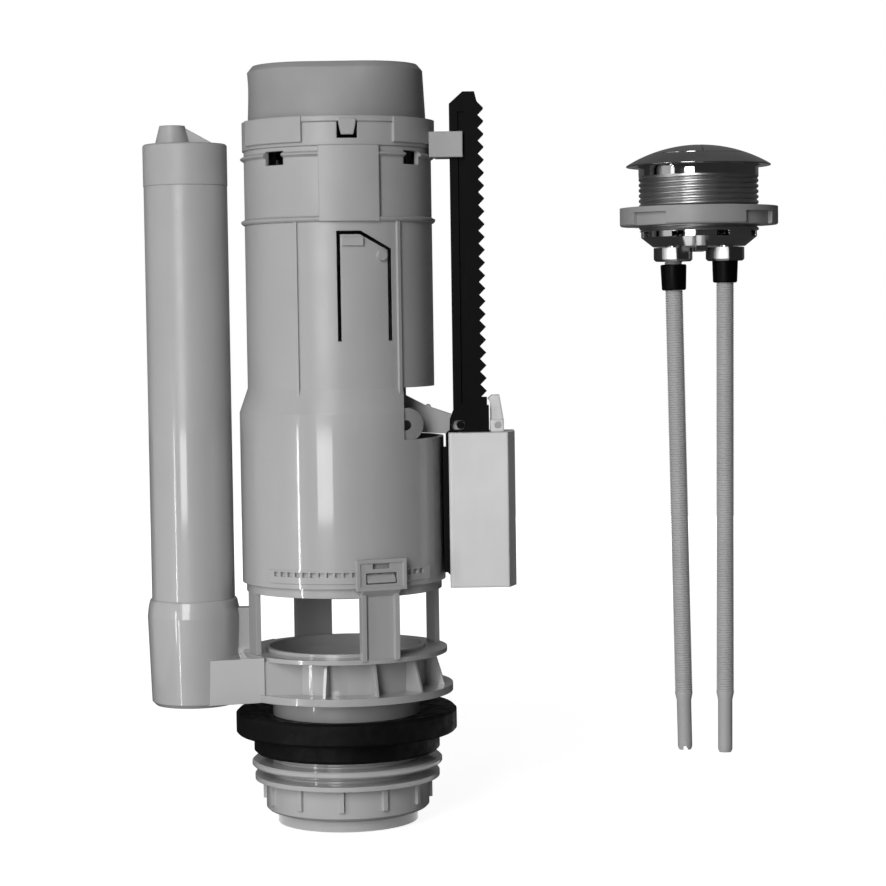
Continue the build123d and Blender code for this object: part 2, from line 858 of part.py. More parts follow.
# Canister: wide lower body, shoulder and barrel in one moulding
body_inner = body_radius - canister_wall
barrel_inner = barrel_radius - canister_wall
canister_spigot = head_radius - head_wall - press_gap
opening_bottom = shoulder_bottom - opening_bottom_drop
guide_ring_bottom = barrel_top - guide_ring_drop
with BuildPart() as canister:
    with BuildSketch(Plane.XZ):
        with BuildLine():
            Polyline(
                (body_inner, body_bottom),
                (body_radius, body_bottom),
                (body_radius, shoulder_bottom),
                (barrel_radius, shoulder_top),
                (barrel_radius, barrel_top),
                (canister_spigot, barrel_top),
                (canister_spigot, barrel_top + spigot_overlap),
                (canister_spigot - canister_wall, barrel_top + spigot_overlap),
                (canister_spigot - canister_wall, barrel_top),
                (barrel_inner, barrel_top - 2.0),
                (barrel_inner, shoulder_top - 0.5),
                (body_inner, shoulder_bottom - 0.5),
                close=True,
            )
        make_face()
    revolve(axis=Axis.Z)

    # Scale strip with its row of small square notches
    strip_plane = radial_plane(scale_start_azimuth)
    strip_low = body_bottom + scale_bottom_rise
    revolve(
        ring_face(
            body_radius - 0.3,
            body_radius + scale_rise,
            strip_low,
            strip_low + scale_height,
            strip_plane,
        ),
        Axis.Z,
        revolution_arc=scale_arc,
    )
    notch_count = int((scale_arc - 2 * notch_margin_angle) / notch_pitch_angle) + 1
    for index in range(notch_count):
        azimuth = scale_start_azimuth + notch_margin_angle + index * notch_pitch_angle
        with BuildSketch(facing_plane(azimuth, body_radius + scale_rise - notch_depth)):
            with Locations((0, strip_low + scale_height * 0.68)):
                Rectangle(notch_width, notch_height)
        extrude(amount=2 * notch_depth, mode=Mode.SUBTRACT)

    # Snap lugs that catch in the windows of the leg heads
    for azimuth in (leg_azimuth, leg_azimuth + 180):
        lug_low = body_bottom + snap_window_rise + 0.5
        lug_high = lug_low + snap_window_height - 1.0
        lug_root = body_radius - 0.8
        lug_reach = body_radius + scale_rise + lug_rise
        add(
            extrude(
                closed_face(
                    [
                        (lug_root, lug_low),
                        (lug_reach, lug_low),
                        (lug_reach, lug_low + 1.2),
                        (body_radius + scale_rise, lug_high),
                        (lug_root, lug_high),
                    ],
                    radial_plane(azimuth),
                ),
                amount=lug_width / 2,
                both=True,
                mode=Mode.PRIVATE,
            )
        )

    # Long ribs that frame the front and the back of the barrel
    for side in (front_azimuth - 1, front_azimuth + 179):
        for spread in (-rib_half_spread, rib_half_spread):
            with BuildSketch(facing_plane(side + spread, barrel_inner + 1.0)):
                with Locations((0, shoulder_bottom)):
                    Rectangle(rib_width, barrel_top - shoulder_bottom, align=(Align.CENTER, Align.MIN))
            extrude(amount=canister_wall - 1.0 + rib_rise)

    # Stem guide: a ring on three arms, one of which also guides the trip rod
    guide_band = [guide_ring_bottom, guide_ring_bottom + guide_ring_height]
    revolve(ring_face(stem_radius + slip_gap, guide_ring_diameter / 2, *guide_band), Axis.Z)
    trip_azimuth = 90 - degrees(asin(float_plane_offset / trip_rod_x))
    for azimuth in (trip_azimuth, trip_azimuth + 120, trip_azimuth + 240):
        with BuildSketch(facing_plane(azimuth, guide_ring_diameter / 2 - 1.0)):
            with Locations((0, guide_ring_bottom)):
                Rectangle(guide_arm_width, guide_ring_height / 2, align=(Align.CENTER, Align.MIN))
        extrude(amount=barrel_inner + 1.0 - guide_ring_diameter / 2 + 1.0)
    with Locations((trip_rod_x, float_y, guide_ring_bottom)):
        Cylinder(trip_rod_diameter / 2 + slip_gap, guide_ring_height * 2, mode=Mode.SUBTRACT)

    # Opening through which the float arm leaves on the right
    with Locations((opening_left, 0, opening_bottom)):
        Box(
            body_diameter,
            body_diameter * 1.2,
            shoulder_top - opening_bottom,
            align=(Align.MIN, Align.CENTER, Align.MIN),
            mode=Mode.SUBTRACT,
        )
    add(pivot_bosses.part)

    # Slots round the snap tongue in the front wall, and the raised stop and pip on it
    tongue_top = barrel_top - tongue_top_drop
    left_x = barrel_radius * sin(radians(tongue_left_azimuth))
    right_x = barrel_radius * sin(radians(tongue_right_azimuth))
    corner_x = left_x + (right_x - left_x) * 0.45
    slot = tongue_slot_width
    with BuildSketch(Plane.XZ.offset(barrel_inner * 0.6)):
        with BuildLine():
            Polyline(
                (left_x, tongue_top - tongue_height),
                (left_x, tongue_top),
                (corner_x, tongue_top),
                (right_x, tongue_top - tongue_corner_drop),
                (right_x, tongue_top - tongue_height),
                (right_x - slot, tongue_top - tongue_height),
                (right_x - slot, tongue_top - tongue_corner_drop - slot * 0.4),
                (corner_x - slot * 0.3, tongue_top - slot),
                (left_x + slot, tongue_top - slot),
                (left_x + slot, tongue_top - tongue_height),
                close=True,
            )
        make_face()
    extrude(amount=barrel_radius, mode=Mode.SUBTRACT)
    stop_azimuth = degrees(asin((left_x + slot + 0.6 + stop_tab_width / 2) / barrel_radius))
    with BuildSketch(facing_plane(stop_azimuth, barrel_inner + 1.0)):
        with Locations((0, tongue_top - 4.2)):
            Rectangle(stop_tab_width, stop_tab_height)
    extrude(amount=canister_wall - 1.0 + 1.0)
    pip_azimuth = tongue_right_azimuth - 6.5
    with BuildSketch(facing_plane(pip_azimuth, barrel_inner + 1.0)):
        with Locations((0, tongue_top - tongue_corner_drop - 2.6)):
            Circle(pip_diameter / 2)
    extrude(amount=canister_wall - 1.0 + 1.2)

canister.part.label = "canister"
export_step(canister.part, "parts/canister.step")


# Head housing on the barrel: it holds the lever's ears
head_inner = head_radius - head_wall
ledge_radius = skirt_radius - 1.3
ring_top = head_top - head_ring_drop
ear_gap = lever_hub_width / 2 + slip_gap
ear_bottom = lever_pivot_height - lever_ear_drop
ear_top = lever_pivot_height + lever_ear_radius
with BuildPart() as head_housing:
    with BuildSketch(Plane.XZ):
        with BuildLine():
            Polyline(
                (head_inner, barrel_top),
                (head_radius + head_ring_rise / 2, barrel_top),
                (head_radius + head_ring_rise, barrel_top + head_ring_height * 0.35),
                (head_radius + head_ring_rise, barrel_top + head_ring_height * 0.7),
                (head_radius, barrel_top + head_ring_height),
                (head_radius, ring_top - head_ring_height),
                (head_radius + head_ring_rise, ring_top - head_ring_height * 0.6),
                (head_radius + head_ring_rise, ring_top - head_ring_height * 0.35),
                (head_radius, ring_top),
                (head_radius, head_top),
                (ledge_radius, head_top),
                (ledge_radius, head_top - 1.6),
                (head_inner, head_top - 1.6),
                close=True,
            )
        make_face()
    revolve(axis=Axis.Z)

    # Raised panel in the front and its twin at the back
    for side in (front_azimuth, front_azimuth + 180):
        revolve(
            ring_face(
                head_inner + 0.5,
                head_radius + panel_rise,
                barrel_top,
                head_top,
                radial_plane(side - panel_half_angle),
            ),
            Axis.Z,
            revolution_arc=2 * panel_half_angle,
        )

    # Small windows under the collar
    for side in (front_azimuth, front_azimuth + 180):
        for spread in (-head_window_azimuth, head_window_azimuth):
            with BuildSketch(facing_plane(side + head_window_shift + spread, ledge_radius)):
                with Locations((0, head_top - 1.6)):
                    Rectangle(
                        head_window_width,
                        head_window_height,
                        align=(Align.CENTER, Align.MAX),
                    )
            extrude(amount=head_radius, mode=Mode.SUBTRACT)

    # Ears for the lever's pin, from the wall inwards
    for side in (-1, 1):
        with BuildSketch(Plane.XZ.offset(side * ear_gap)):
            with BuildLine():
                nose = RadiusArc(
                    (lever_pivot_x, ear_top),
                    (lever_pivot_x, lever_pivot_height - lever_ear_radius),
                    lever_ear_radius,
                )
                Polyline(
                    nose @ 1,
                    (-head_inner + 1.0, ear_bottom),
                    (-head_inner + 1.0, ear_top),
                    nose @ 0,
                )
            make_face()
            with Locations((lever_pivot_x, lever_pivot_height)):
                Circle(lever_pin_diameter / 2 + press_gap, mode=Mode.SUBTRACT)
        extrude(amount=side * lever_ear_thickness)
    ear_reach = sqrt(head_inner**2 - (ear_gap + lever_ear_thickness) ** 2)
    for side in (-1, 1):
        with Locations((-ear_reach, side * (ear_gap + lever_ear_thickness / 2), ear_bottom)):
            Box(
                5.0,
                lever_ear_thickness,
                ear_top - ear_bottom,
                align=(Align.MIN, Align.CENTER, Align.MIN),
            )
    Cylinder(head_radius + panel_rise, 3 * barrel_top, mode=Mode.INTERSECT)

head_housing.part.label = "head_housing"
export_step(head_housing.part, "parts/head_housing.step")


# Lock collar with pads, latch and the guide for the rack
collar_inner = collar_radius - collar_wall
with BuildPart() as lock_collar:
    revolve(ring_face(collar_inner, collar_radius, head_top, collar_top), Axis.Z)
    for side, end_angle in ((front_azimuth, pad_end_angle), (front_azimuth + 180, back_pad_end_angle)):
        for start in (-end_angle, pad_start_angle):
            revolve(
                ring_face(
                    collar_inner + 0.5,
                    collar_radius + pad_rise,
                    head_top + pad_lift,
                    collar_top,
                    radial_plane(side + start),
                ),
                Axis.Z,
                revolution_arc=end_angle - pad_start_angle,
            )
        revolve(
            ring_face(
                collar_inner + 0.5,
                collar_radius + pad_rise * 0.6,
                latch_top,
                collar_top,
                radial_plane(side - pad_start_angle),
            ),
            Axis.Z,
            revolution_arc=2 * pad_start_angle,
        )

    # Guide for the rack: a block with a slot that is open to the right
    with Locations((collar_inner + 0.8, float_y, guide_bottom)):
        Box(
            guide_reach - collar_inner - 0.8,
            guide_width,
            guide_height,
            align=(Align.MIN, Align.CENTER, Align.MIN),
        )
    with Locations((rack_left - slip_gap, float_y, guide_bottom)):
        Box(
            guide_reach,
            rack_thickness + 2 * slip_gap,
            guide_height,
            align=(Align.MIN, Align.CENTER, Align.MIN),
            mode=Mode.SUBTRACT,
        )
    with Locations((0, 0, guide_bottom)):
        Cylinder(
            head_radius + panel_rise + slip_gap,
            head_top - guide_bottom,
            align=(Align.CENTER, Align.CENTER, Align.MIN),
            mode=Mode.SUBTRACT,
        )

    # Latch window with a hook that hangs into it
    with BuildSketch(facing_plane(latch_azimuth, collar_inner - 2.0)):
        with Locations((0, latch_top)):
            Rectangle(latch_width, latch_height, align=(Align.CENTER, Align.MAX))
    extrude(amount=collar_wall + 4.0, mode=Mode.SUBTRACT)
    with BuildSketch(facing_plane(latch_azimuth, collar_inner + 0.3)):
        with BuildLine():
            Polyline(
                (-hook_width / 2, latch_top + 1.0),
                (-hook_width / 2, latch_top - 1.0),
                (-hook_width / 2 + 1.0, latch_top - hook_height),
                (hook_width / 2 - 1.0, latch_top - hook_height),
                (hook_width / 2, latch_top - 1.0),
                (hook_width / 2, latch_top + 1.0),
                close=True,
            )
        make_face()
    extrude(amount=collar_wall + 0.8)

lock_collar.part.label = "lock_collar"
export_step(lock_collar.part, "parts/lock_collar.step")


# Top cup: round at its foot, squarer at its rim, with a skirt inside the collar
cup_inner = cup_base_diameter / 2 - cup_wall
stem_pad_x = foot_x
with BuildPart() as top_cup:
    with BuildSketch(Plane.XY.offset(collar_top)):
        Circle(cup_base_diameter / 2)
    with BuildSketch(Plane.XY.offset(cup_top - cup_rim_height)):
        RectangleRounded(cup_width, cup_depth, cup_corner_radius)
    loft(ruled=True)
    with BuildSketch(Plane.XY.offset(cup_top - cup_rim_height)):
        RectangleRounded(cup_width, cup_depth, cup_corner_radius)
    with BuildSketch(Plane.XY.offset(cup_top)):
        RectangleRounded(
            cup_width - 2 * cup_rim_inset,
            cup_depth - 2 * cup_rim_inset,
            cup_corner_radius - cup_rim_inset,
        )
    loft(ruled=True)
    with Locations((0, 0, cup_floor_top)):
        Cylinder(
            cup_inner,
            cup_top - cup_rim_height - cup_floor_top,
            align=(Align.CENTER, Align.CENTER, Align.MIN),
            mode=Mode.SUBTRACT,
        )
        Cylinder(
            cup_mouth_diameter / 2,
            cup_height,
            align=(Align.CENTER, Align.CENTER, Align.MIN),
            mode=Mode.SUBTRACT,
        )
    revolve(ring_face(skirt_radius - cup_wall, skirt_radius, head_top, collar_top + 0.5), Axis.Z)
    for x in (-pad_center_offset, pad_center_offset):
        with Locations((x, 0, collar_top - well_depth)):
            Cylinder(well_diameter / 2, well_depth, align=(Align.CENTER, Align.CENTER, Align.MIN))
        with Locations((x, 0, well_floor)):
            Cylinder(
                well_diameter / 2 - well_wall,
                2 * well_depth,
                align=(Align.CENTER, Align.CENTER, Align.MIN),
                mode=Mode.SUBTRACT,
            )

    # Slot in the skirt behind the collar's latch, and the holes for the pads' feet
    with BuildSketch(facing_plane(latch_azimuth, skirt_radius - 2 * cup_wall)):
        with Locations((0, latch_top)):
            Rectangle(latch_width + 1.0, latch_height + 0.5, align=(Align.CENTER, Align.MAX))
    extrude(amount=3 * cup_wall, mode=Mode.SUBTRACT)
    with Locations((stem_pad_x, 0, collar_top)):
        Cylinder(pad_foot_diameter / 2 + slip_gap, 3 * cup_floor_thickness, mode=Mode.SUBTRACT)
    with Locations((trip_rod_x, float_y, collar_top)):
        Cylinder(trip_rod_diameter / 2 + slip_gap, 3 * cup_floor_thickness, mode=Mode.SUBTRACT)

top_cup.part.label = "top_cup"
export_step(top_cup.part, "parts/top_cup.step")


def pad_half(side, low):
    """Half-round press pad with a dished top, a rim underneath and its spring post."""
    radius = pad_diameter / 2
    with BuildPart() as pad:
        with Locations((0, 0, low)):
            Cylinder(
                radius,
                pad_thickness + pad_rim_drop,
                align=(Align.CENTER, Align.CENTER, Align.MIN),
            )
            Cylinder(
                radius - 1.6,
                pad_rim_drop,
                align=(Align.CENTER, Align.CENTER, Align.MIN),
                mode=Mode.SUBTRACT,
            )
        with Locations((side * pad_center_offset, 0, low + pad_rim_drop + pad_thickness + 14.0)):
            Sphere(14.8, mode=Mode.SUBTRACT)
        with Locations((side * pad_center_offset, 0, low + pad_rim_drop)):
            Cylinder(
                pad_post_diameter / 2,
                pad_rim_drop + cup_floor_thickness + slip_gap + well_depth - pad_travel * 0.35,
                align=(Align.CENTER, Align.CENTER, Align.MAX),
            )
        with Locations((side * pad_split / 2, 0, 0)):
            Box(
                2 * radius,
                3 * radius,
                3 * cup_top,
                align=(Align.MIN if side > 0 else Align.MAX, Align.CENTER, Align.CENTER),
                mode=Mode.INTERSECT,
            )
    return pad.part


foot_bottom = foot_height + lever_tip_diameter / 2 + guide_gap
with BuildPart() as press_pad_full:
    add(pad_half(-1, pad_low))
    with Locations((stem_pad_x, 0, pad_low + pad_rim_drop + 0.5)):
        Cylinder(
            pad_foot_diameter / 2,
            pad_low + pad_rim_drop + 0.5 - foot_bottom,
            align=(Align.CENTER, Align.CENTER, Align.MAX),
        )
press_pad_full.part.label = "press_pad_full"
export_step(press_pad_full.part, "parts/press_pad_full.step")

with BuildPart() as press_pad_half:
    add(pad_half(1, pad_high))
    with Locations((trip_rod_x, float_y, pad_high + pad_rim_drop + 0.5)):
        Cylinder(
            trip_rod_diameter / 2,
            pad_high + pad_rim_drop + 0.5 - trip_rod_bottom,
            align=(Align.CENTER, Align.CENTER, Align.MAX),
        )
press_pad_half.part.label = "press_pad_half"
export_step(press_pad_half.part, "parts/press_pad_half.step")


# Springs under the pads, round their posts
pad_coil_radius = pad_post_diameter / 2 + slip_gap + spring_wire / 2
with BuildPart() as pad_spring_full:
    add(coil(well_floor, pad_low + pad_rim_drop, pad_coil_radius, (-pad_center_offset, 0)))
pad_spring_full.part.label = "pad_spring_full"
export_step(pad_spring_full.part, "parts/pad_spring_full.step")

with BuildPart() as pad_spring_half:
    add(coil(well_floor, pad_high + pad_rim_drop, pad_coil_radius, (pad_center_offset, 0)))
pad_spring_half.part.label = "pad_spring_half"
export_step(pad_spring_half.part, "parts/pad_spring_half.step")


# Forked lift lever, drawn level and then turned to its raised place
with BuildPart() as lift_lever:
    hub_radius = lever_hub_diameter / 2
    tip_radius = lever_tip_diameter / 2
    with BuildSketch(Plane.XZ.offset(-lever_hub_width / 2)):
        with Locations((lever_pivot_x, lever_pivot_height)):
            Circle(hub_radius)
    extrude(amount=lever_hub_width)
    prong_middle = (prong_gap + prong_thickness) / 2
    toe_x = lever_pivot_x + lever_inner_reach
    heel_x = lever_pivot_x - lever_outer_reach
    for middle in (-prong_middle, prong_middle):
        with BuildSketch(Plane.XZ.offset(middle - prong_thickness / 2)):
            with BuildLine():
                Polyline(
                    (toe_x, lever_pivot_height - tip_radius),
                    (toe_x, lever_pivot_height),
                    (lever_pivot_x, lever_pivot_height + 1.0),
                    (lever_pivot_x, lever_pivot_height - hub_radius * 0.9),
                    close=True,
                )
            make_face()
            with Locations((toe_x, lever_pivot_height)):
                Circle(tip_radius)
        extrude(amount=prong_thickness)
    with BuildSketch(Plane.XZ.offset(-pad_foot_diameter / 2)):
        with BuildLine():
            Polyline(
                (heel_x, lever_pivot_height - tip_radius),
                (heel_x, lever_pivot_height),
                (lever_pivot_x, lever_pivot_height + 1.0),
                (lever_pivot_x, lever_pivot_height - hub_radius * 0.9),
                close=True,
            )
        make_face()
        with Locations((heel_x, lever_pivot_height)):
            Circle(tip_radius)
    extrude(amount=pad_foot_diameter)
    with BuildSketch(Plane.XZ.offset(-lever_hub_width / 2)):
        with Locations((lever_pivot_x, lever_pivot_height)):
            Circle(lever_pin_diameter / 2 + running_gap)
    extrude(amount=lever_hub_width, mode=Mode.SUBTRACT)
lever_axis = Axis((lever_pivot_x, 0, lever_pivot_height), (0, -1, 0))
lift_lever.part = lift_lever.part.rotate(lever_axis, half_swing)
lift_lever.part.label = "lift_lever"
export_step(lift_lever.part, "parts/lift_lever.step")

with BuildPart() as lever_pin:
    lever_pin_length = 2 * (ear_gap + lever_ear_thickness)
    with BuildSketch(Plane.XZ.offset(-lever_pin_length / 2)):
        with Locations((lever_pivot_x, lever_pivot_height)):
            Circle(lever_pin_diameter / 2)
    extrude(amount=lever_pin_length)
lever_pin.part.label = "lever_pin"
export_step(lever_pin.part, "parts/lever_pin.step")


# Plunger: stem tube with its collar, seal, carrier, retainer and float
retainer_bottom = seal_bottom
with BuildPart() as plunger_stem:
    revolve(
        closed_face(
            [
                (stem_radius - stem_wall, carrier_bottom + 1.0),
                (stem_radius, carrier_bottom + 1.0),
                (stem_radius, collar_disc_bottom),
                (collar_disc_diameter / 2, collar_disc_bottom),
                (collar_disc_diameter / 2, collar_disc_bottom + collar_disc_thickness),
                (stem_radius, collar_disc_bottom + collar_disc_thickness),
                (stem_radius, stem_top),
                (stem_radius - stem_wall, stem_top),
            ]
        ),
        Axis.Z,
    )
    # Sides of the collar cut back, so that the lever's prongs can pass them
    for side in (-1, 1):
        with Locations((0, side * (prong_gap / 2 - guide_gap), collar_disc_bottom)):
            Box(
                collar_disc_diameter,
                collar_disc_diameter,
                collar_disc_thickness,
                align=(Align.MAX, Align.MIN if side > 0 else Align.MAX, Align.MIN),
                mode=Mode.SUBTRACT,
            )
plunger_stem.part.label = "plunger_stem"
export_step(plunger_stem.part, "parts/plunger_stem.step")

carrier_radius = seal_outer_diameter / 2 - 1.2
carrier_top = carrier_bottom + carrier_thickness
with BuildPart() as seal_carrier:
    revolve(
        closed_face(
            [
                (0, seal_bottom),
                (seal_inner_diameter / 2 - press_gap, seal_bottom),
                (seal_inner_diameter / 2 - press_gap, carrier_bottom),
                (carrier_radius, carrier_bottom),
                (carrier_radius, carrier_top - 1.0),
                (stem_radius + 4.0, carrier_top),
                (stem_radius + 2.2, carrier_top + 4.0),
                (stem_radius + press_gap, carrier_top + 4.0),
                (stem_radius + press_gap, carrier_bottom + 1.0),
                (0, carrier_bottom + 1.0),
            ]
        ),
        Axis.Z,
    )
seal_carrier.part.label = "seal_carrier"
export_step(seal_carrier.part, "parts/seal_carrier.step")

with BuildPart() as seal_ring:
    revolve(
        ring_face(seal_inner_diameter / 2, seal_outer_diameter / 2, seal_bottom, carrier_bottom),
        Axis.Z,
    )
seal_ring.part.label = "seal_ring"
export_step(seal_ring.part, "parts/seal_ring.step")

with BuildPart() as seal_retainer:
    retainer_radius = seat_diameter / 2 - seat_width - 1.5
    revolve(
        closed_face(
            [
                (0, seal_bottom - retainer_thickness),
                (retainer_radius - 1.5, seal_bottom - retainer_thickness),
                (retainer_radius, seal_bottom - retainer_thickness + 1.2),
                (retainer_radius, seal_bottom),
                (0, seal_bottom),
            ]
        ),
        Axis.Z,
    )
seal_retainer.part.label = "seal_retainer"
export_step(seal_retainer.part, "parts/seal_retainer.step")

float_low = carrier_top + plunger_float_rise
float_high = float_low + plunger_float_height
with BuildPart() as plunger_float:
    float_radius = plunger_float_diameter / 2
    wall = plunger_float_wall
    revolve(
        closed_face(
            [
                (stem_radius + press_gap, float_low),
                (stem_radius + press_gap + wall, float_low),
                (stem_radius + press_gap + wall, float_high - wall),
                (float_radius - wall, float_high - wall),
                (float_radius - wall, float_low),
                (float_radius, float_low),
                (float_radius, float_high - 2.0),
                (float_radius - 2.0, float_high),
                (stem_radius + press_gap, float_high),
            ]
        ),
        Axis.Z,
    )
plunger_float.part.label = "plunger_float"
export_step(plunger_float.part, "parts/plunger_float.step")


# Float arm: hub on the pin, bar out to the rack and a short tail
with BuildPart() as float_arm:
    with BuildSketch(Plane.XZ.offset(-float_y - arm_thickness / 2)):
        with BuildLine():
            Polyline(
                (pivot_x - 6.6, pivot_height + 14.4),
                (pivot_x + 0.5, pivot_height + 10.7),
                (pivot_x + 7.6, pivot_height + 6.9),
                (rack_pin_x - 2.7, rack_pin_height + 4.0),
                (rack_pin_x, rack_pin_height + 3.6),
                (rack_pin_x, rack_pin_height - 3.4),
                (pivot_x + 13.2, pivot_height - 4.3),
                (pivot_x + 6.0, pivot_height - 3.8),
                (pivot_x - 2.0, pivot_height - 5.0),
                (pivot_x - 5.2, pivot_height),
                close=True,
            )
        make_face()
        with Locations((rack_pin_x, rack_pin_height + 0.1)):
            Circle(3.5)
        with Locations((pivot_x + 8.6, pivot_height + 6.2)):
            Circle(1.2)
    extrude(amount=arm_thickness)
    with BuildSketch(Plane.XZ.offset(-float_y - arm_hub_width / 2)):
        with Locations((pivot_x, pivot_height)):
            Circle(arm_hub_diameter / 2)
    extrude(amount=arm_hub_width)
    with BuildSketch(Plane.XZ.offset(-float_y - arm_hub_width / 2)):
        with Locations((pivot_x, pivot_height)):
            Circle(pivot_pin_diameter / 2 + running_gap)
    extrude(amount=arm_hub_width, mode=Mode.SUBTRACT)
    with BuildSketch(Plane.XZ.offset(-float_y - arm_thickness / 2)):
        with Locations((rack_pin_x, rack_pin_height)):
            Circle(rack_pin_diameter / 2 + press_gap)
    extrude(amount=arm_thickness, mode=Mode.SUBTRACT)
float_arm.part.label = "float_arm"
export_step(float_arm.part, "parts/float_arm.step")

with BuildPart() as arm_pivot_pin:
    with BuildSketch(Plane.XZ.offset(-float_y - pivot_pin_length / 2)):
        with Locations((pivot_x, pivot_height)):
            Circle(pivot_pin_diameter / 2)
    extrude(amount=pivot_pin_length)
arm_pivot_pin.part.label = "arm_pivot_pin"
export_step(arm_pivot_pin.part, "parts/arm_pivot_pin.step")

with BuildPart() as rack_arm_pin:
    rack_pin_length = rack_foot_thickness - 1.0
    with BuildSketch(Plane.XZ.offset(-float_y - rack_pin_length / 2)):
        with Locations((rack_pin_x, rack_pin_height)):
            Circle(rack_pin_diameter / 2)
    extrude(amount=rack_pin_length)
rack_arm_pin.part.label = "rack_arm_pin"
export_step(rack_arm_pin.part, "parts/rack_arm_pin.step")


# Rack: toothed bar above, broad foot with the slotted fork for the arm below
arm_length = sqrt((rack_pin_x - pivot_x) ** 2 + (rack_pin_height - pivot_height) ** 2)
arm_low = asin((rack_pin_height - pivot_height) / arm_length)
arm_high = asin((rack_pin_height - pivot_height + float_travel) / arm_length)
pin_drift = arm_length * (cos(arm_low) - cos(arm_high))
slot_height = rack_pin_diameter + 2 * guide_gap
slot_left = rack_pin_x - pin_drift - rack_pin_diameter / 2 - guide_gap
slot_right = rack_pin_x + rack_pin_diameter / 2 + guide_gap
teeth_bottom = rack_top - rack_nose_height - tooth_count * tooth_pitch
with BuildPart() as float_rack:
    with BuildSketch(Plane.XZ.offset(-float_y - rack_thickness / 2)):
        with BuildLine():
            points = [(rack_tip, rack_foot_top), (rack_tip, teeth_bottom), (rack_root, teeth_bottom)]
            for index in range(tooth_count):
                low = teeth_bottom + index * tooth_pitch
                points.append((rack_tip, low + tooth_pitch * 0.5))
                points.append((rack_root, low + tooth_pitch))
            points += [
                (rack_root - 1.0, rack_top),
                (rack_left + 5.4, rack_top),
                (rack_left, rack_top - 4.8),
                (rack_left, rack_foot_top),
            ]
            Polyline(*points, close=True)
        make_face()
    extrude(amount=rack_thickness)
    with BuildSketch(Plane.XZ.offset(-float_y - rack_foot_thickness / 2)):
        with BuildLine():
            Polyline(
                (rack_foot_left, rack_bottom + 2.0),
                (rack_foot_left, rack_foot_top),
                (rack_foot_left + 1.6, rack_foot_top + 1.5),
                (rack_foot_left + 1.8, rack_foot_top + 6.0),
                (rack_left, rack_foot_top + 9.0),
                (rack_foot_right, rack_foot_top + 11.0),
                (rack_foot_right, rack_bottom),
                (rack_foot_left + 2.0, rack_bottom),
                close=True,
            )
        make_face()
    extrude(amount=rack_foot_thickness)

    # Thin web along the front of the foot, which reaches past the round of the canister
    with Locations((rack_web_left, float_y - rack_foot_thickness / 2, rack_bottom + 2.0)):
        Box(
            rack_foot_left + 1.0 - rack_web_left,
            rack_web_thickness,
            rack_web_top - rack_bottom - 2.0,
            align=(Align.MIN, Align.MIN, Align.MIN),
        )

    # Long grooves in the front and back of the toothed bar
    for face in (-1, 1):
        with Locations((rack_left + 4.6, float_y + face * rack_thickness / 2, rack_foot_top + 12.0)):
            Box(
                rack_groove_width,
                2 * rack_groove_depth,
                rack_top - rack_foot_top - 20.0,
                align=(Align.CENTER, Align.CENTER, Align.MIN),
                mode=Mode.SUBTRACT,
            )

    # Fork for the arm, and the slot in its cheeks for the arm's pin
    fork_width = arm_thickness + 2 * slip_gap
    with Locations((rack_foot_left, float_y, rack_foot_top - 5.0)):
        Box(
            rack_pin_x + 5.0 - rack_foot_left,
            fork_width,
            21.0,
            align=(Align.MIN, Align.CENTER, Align.MIN),
            mode=Mode.SUBTRACT,
        )
    with BuildSketch(Plane.XZ.offset(-float_y - rack_foot_thickness)):
        with Locations(((slot_left + slot_right) / 2, rack_pin_height)):
            SlotOverall(slot_right - slot_left, slot_height)
    extrude(amount=2 * rack_foot_thickness, mode=Mode.SUBTRACT)
float_rack.part.label = "float_rack"
export_step(float_rack.part, "parts/float_rack.step")


# Float box: open below, with a channel for the rack that is open to the left
float_top = float_bottom + float_height
float_front = float_y - float_front_reach
float_back = float_front + float_depth
channel_half_width = rack_foot_thickness / 2 + guide_gap
channel_right = rack_foot_right + slip_gap
pawl_pin_x = (channel_right + pawl_right) / 2 + 0.6
pawl_pin_height = float_top + 2.6
with BuildPart() as float_box:
    with BuildSketch(Plane.XY.offset(float_bottom)) as float_plan:
        with BuildLine():
            Polyline(
                (float_left, float_front),
                (float_front_right, float_front),
                (float_right, float_front + float_bevel_depth),
                (float_right, float_back),
                (float_left, float_back),
                close=True,
            )
        make_face()
        fillet(float_plan.vertices().group_by(Axis.X)[0], 1.2)
    extrude(amount=float_height)
    with BuildSketch(Plane.XY.offset(float_bottom)):
        offset(float_plan.sketch, amount=-float_wall)
    extrude(amount=float_height - float_wall, mode=Mode.SUBTRACT)
    with Locations((float_left, float_y, float_bottom)):
        Box(
            channel_right + float_wall - float_left,
            2 * (channel_half_width + float_wall),
            float_height,
            align=(Align.MIN, Align.CENTER, Align.MIN),
        )
        Box(
            2 * (channel_right - float_left),
            2 * channel_half_width,
            float_height,
            align=(Align.CENTER, Align.CENTER, Align.MIN),
            mode=Mode.SUBTRACT,
        )

    # Ears for the pawl's pin
    ear_left = channel_right + 0.2
    for side in (-1, 1):
        with Locations((ear_left, float_y + side * (pawl_width / 2 + slip_gap), float_top)):
            Box(
                pawl_right - ear_left,
                1.8,
                pawl_pin_height + 2.2 - float_top,
                align=(Align.MIN, Align.MIN if side > 0 else Align.MAX, Align.MIN),
            )
    with BuildSketch(Plane.XZ.offset(-float_y - pawl_width)):
        with Locations((pawl_pin_x, pawl_pin_height)):
            Circle(pawl_pin_diameter / 2 + press_gap)
    extrude(amount=2 * pawl_width, mode=Mode.SUBTRACT)
float_box.part.label = "float_box"
export_step(float_box.part, "parts/float_box.step")

